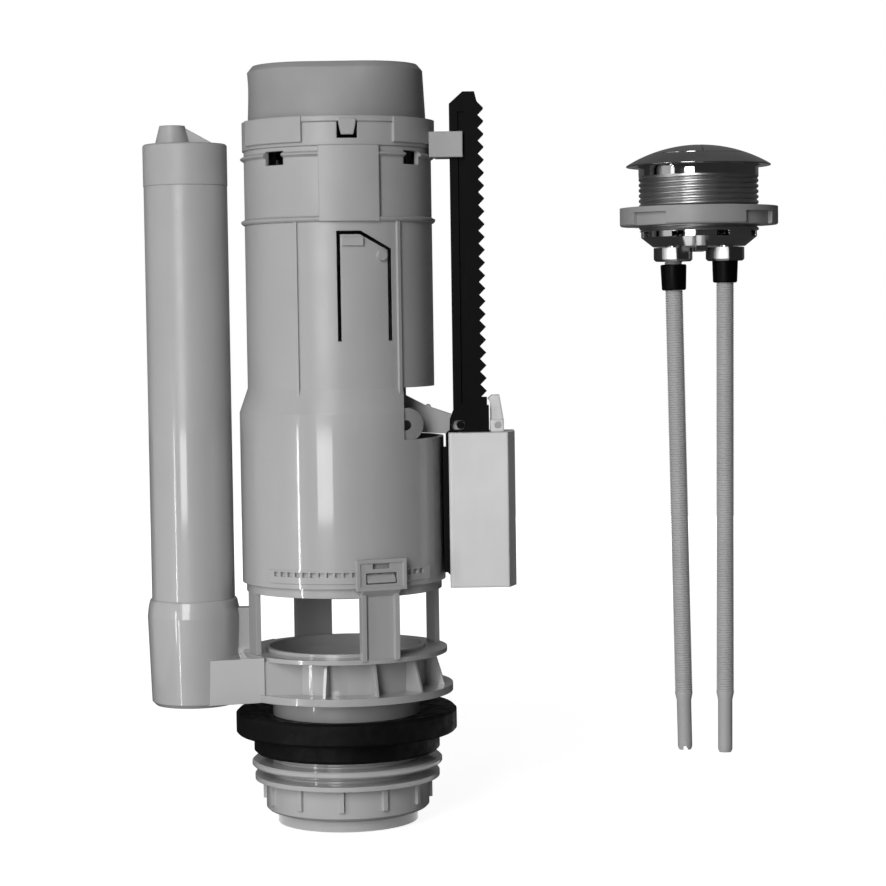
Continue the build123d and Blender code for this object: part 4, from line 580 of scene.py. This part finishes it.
def paint(piece: bpy.types.Object, material: bpy.types.Material) -> None:
    """Gives a piece one material in all its slots.

    Args:
        piece: a new piece or a CAD node's object.
        material: the material to show.
    """
    if not piece.material_slots:
        piece.data.materials.append(material)
    for slot in piece.material_slots:
        slot.material = material


class Workshop:
    """Dresses CAD nodes and new pieces, and makes each finish's material only once."""

    def __init__(self, frame: dict) -> None:
        """Keeps the frame.
        """
        self.nodes = frame["nodes"]
        self.materials: dict[str, bpy.types.Material] = {}

    def material(self, finish: Finish) -> bpy.types.Material:
        """Returns a finish's material, made on first use.

        Args:
            finish: the finish to show.

        Returns:
            Its material.
        """
        if finish.name not in self.materials:
            self.materials[finish.name] = finish.material()
        return self.materials[finish.name]

    def dress(self, finish: Finish, *names: str) -> None:
        """Gives CAD nodes a finish.

        Args:
            finish: the finish to show.
            *names: the nodes' names.
        """
        for name in names:
            paint(self.nodes[name], self.material(finish))
            log.info("node %s: %s", name, finish.name)

    def place(
        self, piece: bpy.types.Object, finish: Finish, body: str, *replaced: str, slot: str = ""
    ) -> None:
        """Finishes a new piece and lets it ride on a body.

        Args:
            piece: the new object.
            finish: the finish to show.
            body: the CAD body that carries it.
            *replaced: CAD nodes that it stands for.
            slot: not used (the record's material slot, where that isn't the finish's name).
        """
        paint(piece, self.material(finish))
        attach(piece, body)
        if replaced:
            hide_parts(*replaced)
        log.info("piece %s: %s, on %s, %d faces", piece.name, finish.name, body, len(piece.data.polygons))


@dataclass
class ValveBase:
    """Outlet base with its threaded tail, gasket, washer and lock nut."""

    thread_low: float = 6.8
    thread_high: float = 36.0
    thread_pitch: float = 2.309
    thread_root: float = 29.9
    thread_crest: float = 30.5
    thread_inside: float = 29.4
    thread_flat: float = 0.2
    rows_per_pitch: int = 10
    columns: int = 120

    def tail_thread(self) -> bpy.types.Object:
        """Builds the tail's thread as a ring whose outer face is a helical wave.

        The radius is the root plus the thread form of (height / pitch - angle / full turn), faded in
        and out over one pitch at each end.

        Returns:
            The new object.
        """
        step = self.thread_pitch / self.rows_per_pitch
        rise = np.arange(self.thread_low, self.thread_high, step)
        angle = full_circle(self.columns)
        height = rise[:, None]
        fade = np.clip(np.minimum(height - self.thread_low, rise[-1] - height) / self.thread_pitch, 0.0, 1.0)
        form = thread_form(height / self.thread_pitch - angle / (2.0 * math.pi), self.thread_flat)
        outer = self.thread_root + (self.thread_crest - self.thread_root) * form * fade
        inner = np.full((2, 1), self.thread_inside)
        outside = turned(outer, height, angle)
        inside = turned(inner, rise[[-1, 0]][:, None], angle)
        return surface("tail_thread", np.concatenate([outside, inside]), closed_rows=True)

    def build(self, workshop: Workshop) -> None:
        """Dresses the base and adds the tail's thread.

        Args:
            workshop: gives pieces their finishes.
        """
        workshop.dress(SHELL, "outlet_base")
        workshop.dress(PALE, "tail_washer", "lock_nut")
        workshop.dress(GASKET, "tail_gasket")
        workshop.place(self.tail_thread(), SHELL, "housing")


@dataclass
class ValveBody:
    """Canister, head housing, collar, cup and the overflow tube with its cap."""

    def build(self, workshop: Workshop) -> None:
        """Dresses the body's mouldings.

        Args:
            workshop: gives pieces their finishes.
        """
        workshop.dress(SHELL, "canister", "overflow_tube")
        workshop.dress(SATIN, "head_housing", "lock_collar", "overflow_cap")
        workshop.dress(CUP, "top_cup")


@dataclass
class CoilSpring:
    """Compression spring of round wire with closed ends, standing on a level seat."""

    name: str
    center_x: float
    low: float
    high: float
    mean_radius: float
    wire: float = 1.1
    turns: float = 6.0
    closed_turns: float = 0.9
    steps_per_turn: int = 40
    wire_columns: int = 12

    def build_mesh(self) -> bpy.types.Object:
        """Builds the spring by carrying a circle along its helix.

        The path turns evenly. Its height rises by one wire thickness a turn in the closed ends, and
        evenly between them. Each section lies in the plane of the outward direction and the direction
        square to both it and the path, and shrinks to a point at either end to close the wire.

        Returns:
            The new object.
        """
        count = int(self.turns * self.steps_per_turn)
        turn = np.linspace(0.0, self.turns, count)
        rise = self.high - self.low - self.wire
        coil = self.closed_turns * self.wire
        marks = [0.0, self.closed_turns, self.turns - self.closed_turns, self.turns]
        height = self.low + self.wire / 2 + np.interp(turn, marks, [0.0, coil, rise - coil, rise])
        angle = 2.0 * math.pi * turn
        outward = np.stack([np.cos(angle), np.sin(angle), np.zeros(count)], axis=1)
        path = outward * self.mean_radius + np.stack([np.zeros(count), np.zeros(count), height], axis=1)
        path[:, 0] += self.center_x
        along = np.gradient(path, axis=0)
        along /= np.linalg.norm(along, axis=1, keepdims=True)
        upward = np.cross(along, outward)
        reach = np.full(count, self.wire / 2)
        reach = np.concatenate([[0.0], reach, [0.0]])
        rows = np.concatenate([[0], np.arange(count), [count - 1]])
        around = full_circle(self.wire_columns)[..., None]
        section = np.cos(around) * outward[rows][:, None] + np.sin(around) * upward[rows][:, None]
        return surface(self.name, path[rows][:, None] + section * reach[:, None, None])


@dataclass
class LiftingGear:
    """Plunger, lever, press pads and their springs inside the valve."""

    spring_seat: float = 273.8
    pad_offset: float = 14.0
    full_pad_height: float = 286.3
    half_pad_height: float = 296.13
    coil_radius: float = 3.85
    half_keep: float = 0.56

    def build(self, workshop: Workshop) -> None:
        """Dresses the gear and adds round-wire springs under the pads.

        Args:
            workshop: gives pieces their finishes.
        """
        workshop.dress(SHELL, "plunger_stem", "seal_carrier", "seal_retainer", "plunger_float")
        workshop.dress(SHELL, "press_pad_full", "press_pad_half", "lift_lever")
        workshop.dress(GASKET, "seal_ring")
        workshop.dress(STEEL, "lever_pin")
        full = CoilSpring(
            "pad_coil_full", -self.pad_offset, self.spring_seat, self.full_pad_height, self.coil_radius
        ).build_mesh()
        workshop.place(full, STEEL, "full_pad", "pad_spring_full")
        half = CoilSpring(
            "pad_coil_half", self.pad_offset, self.spring_seat, self.half_pad_height, self.coil_radius
        ).build_mesh()
        workshop.place(half, STEEL, "half_pad", "pad_spring_half")
        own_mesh(half)


@dataclass
class HalfFlushFloat:
    """Toothed rack, float box, pawl and the arm that links them to the plunger."""

    def build(self, workshop: Workshop) -> None:
        """Dresses the float's pieces.

        Args:
            workshop: gives pieces their finishes.
        """
        workshop.dress(RACK, "float_rack", "rack_arm_pin")
        workshop.dress(FLOAT, "float_box", "rack_pawl")
        workshop.dress(SHELL, "float_arm", "arm_pivot_pin", "pawl_pin")


@dataclass
class PushRod:
    """Threaded rod with a plain tip, leaning a little in its socket."""

    side: Side
    top_x: float
    lean: float
    end: float
    slot_width: float
    slot_depth: float = 1.6
    top_z: float = 229.1
    radius: float = 3.6
    thread_depth: float = 0.32
    thread_pitch: float = 1.0
    thread_flat: float = 0.12
    thread_start: float = -0.6
    thread_end: float = -179.6
    plain_above: float = -0.55
    top_bevel: float = 0.5
    taper: float = 3.0
    tip_radius: float = 2.95
    tip_bevel: float = 0.5
    tip_chamfer: float = 1.2
    tip_core: float = 0.5
    slot_margin: float = 1.5
    rows_per_pitch: int = 7
    land_columns: int = 13
    slot_columns: int = 5

    def angles(self, radius: np.ndarray) -> np.ndarray:
        """Gives each row's column angles, arranged so that the slot's walls keep their columns.

        Two lands and two slot runs share their end angles. The half angle of a land is the arc
        cosine of half the slot's width over the radius, so the walls between them stay straight.

        Args:
            radius: each row's radius.

        Returns:
            Angles, rows by columns.
        """
        reach = np.maximum(radius, 1e-6)
        land = np.arccos(np.clip(self.slot_width / 2 / reach, 0.0, 1.0))[:, None]
        wide = np.linspace(0.0, 1.0, self.land_columns)[None, :]
        narrow = np.linspace(0.0, 1.0, self.slot_columns)[None, :]
        right = -land + 2.0 * land * wide
        front = land + (math.pi - 2.0 * land) * narrow
        return np.concatenate([right, front, right + math.pi, front + math.pi], axis=1)

    def slot_lift(self, depth: float) -> np.ndarray:
        """Gives one row of heights: the slot's depth in its columns and 0 on the lands.

        Args:
            depth: how deep the slot is.

        Returns:
            The heights, one by columns.
        """
        lands = np.zeros(self.land_columns)
        slots = np.full(self.slot_columns, depth)
        return np.concatenate([lands, slots, lands, slots])[None, :]

    def build_mesh(self) -> bpy.types.Object:
        """Builds the rod from its slotted lower end up to its top.

        On the threaded length the radius is the crest less the thread's depth times (1 - form) of
        (height / pitch - angle / full turn). The whole rod is then turned about Y by its lean.

        Returns:
            The new object.
        """
        inner = max(self.slot_width / 2, self.tip_core)
        tip = self.tip_radius
        chamfer = tip - self.tip_bevel
        low = [(0.0, self.end), (inner, self.end), (chamfer, self.end), (tip, self.end + self.tip_chamfer)]
        shaft_foot = self.end + self.slot_depth + self.slot_margin
        shaft = [(tip, shaft_foot), (tip, self.thread_end - self.taper), (self.radius, self.thread_end)]
        step = self.thread_pitch / self.rows_per_pitch
        screw = np.arange(self.thread_end + step, self.thread_start, step)
        top = [(self.radius, -self.top_bevel), (self.radius - self.top_bevel, 0.0), (0.0, 0.0)]
        threads = np.stack([np.full(len(screw), self.radius), screw], axis=1)
        profile = np.concatenate([np.array(low + shaft), threads, np.array(top)])
        radius = profile[:, 0]
        angle = self.angles(radius)
        height = profile[:, 1:] + np.zeros_like(angle)
        lift = self.slot_lift(self.slot_depth if self.slot_width > 0.0 else 0.0)
        height[2:4] = np.maximum(height[2:4], self.end + lift)
        height[:2] = self.end + lift.max()
        fade = np.clip((height - self.thread_end) / self.thread_pitch, 0.0, 1.0)
        fade = np.where(height > self.plain_above, 0.0, fade)
        form = thread_form(height / self.thread_pitch - angle / (2.0 * math.pi), self.thread_flat)
        wavy = radius[:, None] - self.thread_depth * (1.0 - form) * fade
        local = turned(wavy, height, angle)
        lean = np.array(Matrix.Rotation(math.radians(self.lean), 3, "Y"))
        place = local @ lean.T + np.array([self.top_x, 0.0, self.top_z])
        return surface(f"threaded_rod_{self.side.value}", place)


@dataclass
class RodSocket:
    """Eight-sided chrome socket round a rod's top."""

    side: Side
    center_x: float
    bottom: float = 224.9
    height: float = 5.5
    across: float = 15.2
    bore_radius: float = 3.66
    mouth_radius: float = 5.45
    mouth_depth: float = 1.8
    roof: float = 1.2
    chamfer: float = 0.8
    bulge: float = 0.35
    turn: float = -15.5
    sides: int = 8
    columns: int = 128

    def build_mesh(self) -> bpy.types.Object:
        """Builds the socket from its blind bore, out over its mouth and up its flat sides.

        The outer radius is half the width across the flats over the cosine of the angle from the
        middle of the nearest flat, so it is flat between its corners, less a share that rounds it. The
        bore is blind, and its mouth is wider for the sleeve.

        Returns:
            The new object.
        """
        angle = full_circle(self.columns)
        flat = 2.0 * math.pi / self.sides
        offset = (angle - math.radians(self.turn) + flat / 2) % flat - flat / 2
        flats = 1.0 + (1.0 / np.cos(offset) - 1.0) * (1.0 - self.bulge)
        outer = self.across / 2
        low, high = self.bottom, self.bottom + self.height
        inside = [
            (0.0, high - self.roof),
            (self.bore_radius, high - self.roof),
            (self.bore_radius, low + self.mouth_depth),
            (self.mouth_radius, low + self.mouth_depth),
            (self.mouth_radius, low),
        ]
        outside = [(outer - self.chamfer, low), (outer, low + self.chamfer), (outer, high), (0.0, high)]
        profile = np.array(inside + outside)
        radius, height = profile[:, :1], profile[:, 1:]
        wide = np.arange(len(profile))[:, None] >= len(inside)
        points = turned(np.where(wide, radius * flats, radius), height, angle)
        points[..., 0] += self.center_x
        return surface(f"faceted_socket_{self.side.value}", points)


@dataclass
class ButtonUnit:
    """Chrome push-button unit with its bezel, nut, cage, two caps, springs and rods."""

    center_x: float = 145.5
    stem_spacing: float = 21.0
    rim_radius: float = 29.1
    rim_height: float = 263.0
    rim_thickness: float = 0.5
    dome_top: float = 271.7
    dome_radius: float = 55.73
    opening_radius: float = 20.2
    opening_foot: float = 258.0
    neck_radius: float = 24.1
    neck_bore: float = 22.2
    neck_bottom: float = 237.0
    thread_top: float = 259.2
    thread_depth: float = 0.95
    thread_pitch: float = 2.15
    rows_per_pitch: int = 12
    columns: int = 144
    spring_low: float = 233.8
    spring_high: float = 256.0
    spring_radius: float = 5.45
    spring_keep: float = 0.7745

    def dome_height(self, radius: np.ndarray) -> np.ndarray:
        """Gives the dome's height: its top less the fall of a sphere at a distance from the axis."""
        return self.dome_top - self.dome_radius + np.sqrt(self.dome_radius**2 - radius**2)

    def bezel(self) -> bpy.types.Object:
        """Builds the bezel: a domed ring with a rounded rim over a neck with a helical thread.

        The profile runs up the neck, out under the rim, over the dome and down the opening and the
        bore. On the neck the radius loses the thread's depth times (1 - form) of (height / pitch -
        angle / full turn).

        Returns:
            The new object.
        """
        step = self.thread_pitch / self.rows_per_pitch
        screw = np.arange(self.neck_bottom, self.thread_top, step)
        neck = np.stack([np.full(len(screw), self.neck_radius), screw], axis=1)
        lip = self.rim_thickness / 2
        rim_middle = self.rim_height + lip
        under = stepped(
            [
                (self.neck_radius, self.thread_top),
                (self.neck_radius, self.rim_height - 0.9),
                (self.neck_radius + 0.35, self.rim_height - 0.15),
                (self.neck_radius + 0.9, self.rim_height + 0.1),
                (self.rim_radius - lip, self.rim_height),
            ],
            1.0,
        )
        rim = arc((self.rim_radius - lip, rim_middle), lip, -75.0, 55.0, 6)
        across = np.linspace(self.rim_radius - lip * 0.9, self.opening_radius + 0.2, 28)
        dome = np.stack([across, self.dome_height(across)], axis=1)
        edge_height = float(self.dome_height(np.array(self.opening_radius)))
        inside = stepped(
            [
                (self.opening_radius, edge_height - 0.2),
                (self.opening_radius, self.opening_foot),
                (self.neck_bore, self.opening_foot - 2.0),
                (self.neck_bore, self.neck_bottom),
            ],
            4.0,
        )
        profile = np.concatenate([neck, under, rim, dome, inside])
        angle = full_circle(self.columns)
        radius, height = profile[:, :1], profile[:, 1:]
        on_neck = np.zeros_like(radius)
        on_neck[: len(neck)] = 1.0
        fade = on_neck * np.clip((self.thread_top - height) / self.thread_pitch, 0.0, 1.0)
        form = ridge_form(height / self.thread_pitch - angle / (2.0 * math.pi))
        wavy = radius - self.thread_depth * (1.0 - form) * fade
        points = turned(wavy, height, angle)
        points[..., 0] += self.center_x
        return surface("threaded_bezel", points, closed_rows=True)

    def build(self, workshop: Workshop) -> None:
        """Dresses the unit and adds its bezel, springs and rods.

        Args:
            workshop: gives pieces their finishes.
        """
        workshop.place(self.bezel(), BEZEL, "housing", "button_bezel", slot=CHROME.name)
        workshop.dress(NUT, "button_nut")
        workshop.dress(CHROME, "button_cage", "button_full", "button_half")
        workshop.dress(SLEEVE, "rod_sleeve_full", "rod_sleeve_half")
        half_spacing = self.stem_spacing / 2
        left = self.center_x - half_spacing
        right = self.center_x + half_spacing
        rods = (
            PushRod(Side.FULL, top_x=left, lean=-0.83, end=-202.8, slot_width=1.8),
            PushRod(Side.HALF, top_x=right, lean=0.48, end=-204.1, slot_width=0.0),
        )
        for rod in rods:
            side = rod.side.value
            body = f"{side}_button"
            workshop.place(rod.build_mesh(), ROD, body, f"push_rod_{side}")
            socket = RodSocket(rod.side, rod.top_x)
            workshop.place(socket.build_mesh(), SOCKET, body, f"rod_socket_{side}", slot=CHROME.name)
            spring = CoilSpring(
                f"button_coil_{side}", rod.top_x, self.spring_low, self.spring_high, self.spring_radius
            ).build_mesh()
            workshop.place(spring, STEEL, body, f"button_spring_{side}")
            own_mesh(spring)


@dataclass
class Studio:
    """Pale floor, white backdrop, soft boxes, strips, cards for reflections, and the camera."""

    target: tuple[float, float, float] = (0.04, 0.0, 0.15)
    floor_size: float = 6.0
    floor_height: float = -0.0006
    floor_grey: float = 0.45
    floor_glow: float = 0.88
    glow_near: float = 0.25
    glow_far: float = 0.9
    ambient: float = 0.06
    lamp_distance: float = 1.3
    lamp_rise: float = 0.32
    strip_azimuth: float = -46.0
    card_foot: float = 0.004
    room_reach: float = 2.9
    room_near: float = -3.0
    room_top: float = 2.4
    room_grey: float = 0.12
    apron_grey: float = 0.04
    patch_left: float = 0.09
    patch_right: float = 0.165
    patch_front: float = -0.16
    patch_back: float = 0.20
    wall_x: float = -0.35
    wall_front: float = -0.30
    wall_back: float = 0.15
    wall_top: float = 0.45
    wall_grey: float = 0.7
    camera_place: tuple[float, float, float] = (0.0409, -0.995, 0.205)
    camera_tilt: float = 87.0
    camera_roll: float = -0.85
    lens: float = 99.79
    sensor: float = 36.0

    def seen_directly(self, tree: bpy.types.NodeTree) -> bpy.types.NodeSocket:
        """Adds nodes that give 1 for camera, glossy and transmission rays and 0 for the rest.

        Args:
            tree: the node tree to add to.

        Returns:
            The value's socket.
        """
        path = tree.nodes.new("ShaderNodeLightPath")
        value = path.outputs["Is Camera Ray"]
        for name in ("Is Glossy Ray", "Is Transmission Ray"):
            larger = tree.nodes.new("ShaderNodeMath")
            larger.operation = "MAXIMUM"
            tree.links.new(value, larger.inputs[0])
            tree.links.new(path.outputs[name], larger.inputs[1])
            value = larger.outputs[0]
        return value

    def light_world(self) -> None:
        """Gives the world an even grey that is plain white where it is seen directly."""
        world = bpy.data.worlds.new("studio_world")
        world.use_nodes = True
        bpy.context.scene.world = world
        tree = world.node_tree
        tree.nodes.clear()
        output = tree.nodes.new("ShaderNodeOutputWorld")
        backdrop = tree.nodes.new("ShaderNodeBackground")
        backdrop.inputs["Color"].default_value = (1.0, 1.0, 1.0, 1.0)
        level = tree.nodes.new("ShaderNodeMapRange")
        level.inputs["To Min"].default_value = self.ambient
        level.inputs["To Max"].default_value = 1.0
        tree.links.new(self.seen_directly(tree), level.inputs["Value"])
        tree.links.new(level.outputs["Result"], backdrop.inputs["Strength"])
        tree.links.new(backdrop.outputs["Background"], output.inputs["Surface"])

    def lay_floor(self) -> None:
        """Lays a pale floor that is near white where it is seen and still takes the shadow."""
        half = self.floor_size / 2
        mesh = bpy.data.meshes.new("floor")
        corners = [(-half, -half), (half, -half), (half, half), (-half, half)]
        mesh.from_pydata([(x, y, self.floor_height) for x, y in corners], [], [(0, 1, 2, 3)])
        floor = bpy.data.objects.new("floor", mesh)
        bpy.context.scene.collection.objects.link(floor)
        material = bpy.data.materials.new("studio_floor")
        material.use_nodes = True
        tree = material.node_tree
        tree.nodes.clear()
        matt = tree.nodes.new("ShaderNodeBsdfDiffuse")
        matt.inputs["Color"].default_value = (self.floor_grey, self.floor_grey, self.floor_grey, 1.0)
        glow = tree.nodes.new("ShaderNodeEmission")
        place = tree.nodes.new("ShaderNodeTexCoord")
        reach = tree.nodes.new("ShaderNodeVectorMath")
        reach.operation = "LENGTH"
        tree.links.new(place.outputs["Object"], reach.inputs[0])
        fade = tree.nodes.new("ShaderNodeMapRange")
        fade.interpolation_type = "SMOOTHSTEP"
        fade.inputs["From Min"].default_value = self.glow_near
        fade.inputs["From Max"].default_value = self.glow_far
        fade.inputs["To Min"].default_value = self.floor_glow
        fade.inputs["To Max"].default_value = 1.0
        tree.links.new(reach.outputs["Value"], fade.inputs["Value"])
        level = tree.nodes.new("ShaderNodeMath")
        level.operation = "MULTIPLY"
        tree.links.new(fade.outputs["Result"], level.inputs[1])
        tree.links.new(self.seen_directly(tree), level.inputs[0])
        tree.links.new(level.outputs[0], glow.inputs["Strength"])
        both = tree.nodes.new("ShaderNodeAddShader")
        tree.links.new(matt.outputs["BSDF"], both.inputs[0])
        tree.links.new(glow.outputs["Emission"], both.inputs[1])
        output = tree.nodes.new("ShaderNodeOutputMaterial")
        tree.links.new(both.outputs[0], output.inputs["Surface"])
        paint(floor, material)

    def hang_lamp(
        self, name: str, place: Vector, facing: Vector, power: float, width: float, height: float
    ) -> bpy.types.Object:
        """Hangs a rectangular lamp that the camera doesn't see.

        Args:
            name: the lamp's name.
            place: its middle, in metres.
            facing: the direction in which it shines.
            power: its power in watts.
            width: its width in metres.
            height: its height in metres.

        Returns:
            The lamp's object.
        """
        light = bpy.data.lights.new(name, "AREA")
        light.shape = "RECTANGLE"
        light.size = width
        light.size_y = height
        light.energy = power
        lamp = bpy.data.objects.new(name, light)
        turn = facing.to_track_quat("-Z", "Y").to_matrix().to_4x4()
        lamp.matrix_world = Matrix.Translation(place) @ turn
        lamp.visible_camera = False
        bpy.context.scene.collection.objects.link(lamp)
        return lamp

    def hang_softbox(
        self, name: str, azimuth: float, power: float, width: float, height: float
    ) -> bpy.types.Object:
        """Hangs a soft box that faces the object.

        Args:
            name: the lamp's name.
            azimuth: its direction in degrees from the front, growing to the right.
            power: its power in watts.
            width: its width in metres.
            height: its height in metres.

        Returns:
            The lamp's object.
        """
        turn = math.radians(azimuth)
        target = Vector(self.target)
        place = target + Vector((math.sin(turn), -math.cos(turn), self.lamp_rise)) * self.lamp_distance
        return self.hang_lamp(name, place, target - place, power, width, height)

    def hang_strip(self, name: str, distance: float, width: float, height: float, power: float) -> None:
        """Stands a low, narrow strip light near the object for its sharp upright highlights.

        Args:
            name: the lamp's name.
            distance: its distance from the valve's axis in metres.
            width: its width in metres.
            height: its height in metres.
            power: its power in watts.
        """
        turn = math.radians(self.strip_azimuth)
        foot = Vector((math.sin(turn), -math.cos(turn), 0.0)) * distance
        place = foot + Vector((0.0, 0.0, self.card_foot + height / 2))
        self.hang_lamp(name, place, -foot, power, width, height)

    def hang_room(self) -> None:
        """Hangs dark cards round the set that only reflections see, open behind the object."""
        near, far, side, top = self.room_near, self.room_reach, self.room_reach, self.room_top
        front, back, low = self.patch_front, self.patch_back, self.card_foot
        left, right = self.patch_left, self.patch_right
        walls = {
            "room_front": [(-side, near, low), (side, near, low), (side, near, top), (-side, near, top)],
            "room_left": [(-side, near, low), (-side, far, low), (-side, far, top), (-side, near, top)],
            "room_right": [(side, near, low), (side, far, low), (side, far, top), (side, near, top)],
            "apron_front": [(-side, near, low), (side, near, low), (side, front, low), (-side, front, low)],
            "apron_left": [(-side, front, low), (left, front, low), (left, far, low), (-side, far, low)],
            "apron_right": [(right, front, low), (side, front, low), (side, far, low), (right, far, low)],
            "apron_back": [(left, back, low), (right, back, low), (right, far, low), (left, far, low)],
        }
        for name, corners in walls.items():
            self.hang_card(name, corners, self.apron_grey)
        walls = {
            "room_top": [(-side, near, top), (side, near, top), (side, far, top), (-side, far, top)],
            "room_back": [(-side, far, low), (side, far, low), (side, far, top), (-side, far, top)],
        }
        for name, corners in walls.items():
            self.hang_card(name, corners, self.room_grey)
        wall, start, end, height = self.wall_x, self.wall_front, self.wall_back, self.wall_top
        corners = [(wall, start, low), (wall, end, low), (wall, end, height), (wall, start, height)]
        self.hang_card("wall_left", corners, self.wall_grey)

    def hang_card(self, name: str, corners: list[tuple[float, float, float]], grey: float) -> None:
        """Hangs one four-cornered card that only reflections see.

        Args:
            name: the card's name.
            corners: its corners in metres.
            grey: how bright it looks in a reflection.
        """
        material = bpy.data.materials.new(name)
        material.use_nodes = True
        tree = material.node_tree
        tree.nodes.clear()
        glow = tree.nodes.new("ShaderNodeEmission")
        glow.inputs["Color"].default_value = (grey, grey, grey, 1.0)
        output = tree.nodes.new("ShaderNodeOutputMaterial")
        tree.links.new(glow.outputs["Emission"], output.inputs["Surface"])
        mesh = bpy.data.meshes.new(name)
        mesh.from_pydata(corners, [], [(0, 1, 2, 3)])
        card = bpy.data.objects.new(name, mesh)
        bpy.context.scene.collection.objects.link(card)
        paint(card, material)
        card.visible_camera = False
        card.visible_diffuse = False
        card.visible_transmission = False
        card.visible_shadow = False
        card.visible_volume_scatter = False

    def place_camera(self) -> None:
        """Places the camera at the photograph's angle."""
        data = bpy.data.cameras.new("photo_camera")
        data.lens = self.lens
        data.sensor_width = self.sensor
        camera = bpy.data.objects.new("photo_camera", data)
        tilt = Matrix.Rotation(math.radians(self.camera_tilt), 4, "X")
        roll = Matrix.Rotation(math.radians(self.camera_roll), 4, "Z")
        camera.matrix_world = Matrix.Translation(self.camera_place) @ tilt @ roll
        bpy.context.scene.collection.objects.link(camera)
        bpy.context.scene.camera = camera

    def build(self) -> None:
        """Sets the view, the world, the floor, the lamps, the cards and the camera."""
        bpy.context.scene.view_settings.view_transform = "Standard"
        self.light_world()
        self.lay_floor()
        self.hang_softbox("softbox_side", azimuth=-54.0, power=1.6, width=0.22, height=1.2)
        self.hang_softbox("softbox_front", azimuth=-18.5, power=13.0, width=0.44, height=1.2)
        back = self.hang_softbox("softbox_back", azimuth=172.0, power=6.0, width=0.8, height=1.2)
        back.visible_glossy = False
        self.hang_strip("strip_body", distance=0.42, width=0.014, height=0.16, power=0.16)
        self.hang_strip("strip_foot", distance=0.20, width=0.005, height=0.06, power=0.018)
        self.hang_room()
        self.place_camera()
        log.info("studio ready")


def main() -> None:
    """Loads the frame, builds each sub-assembly in order, and sets the studio."""
    logging.basicConfig(level=logging.INFO, format="%(name)s: %(message)s")
    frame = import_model()
    workshop = Workshop(frame)
    for assembly in (ValveBase(), ValveBody(), LiftingGear(), HalfFlushFloat(), ButtonUnit()):
        assembly.build(workshop)
    Studio().build()


if __name__ == "__main__":
    main()
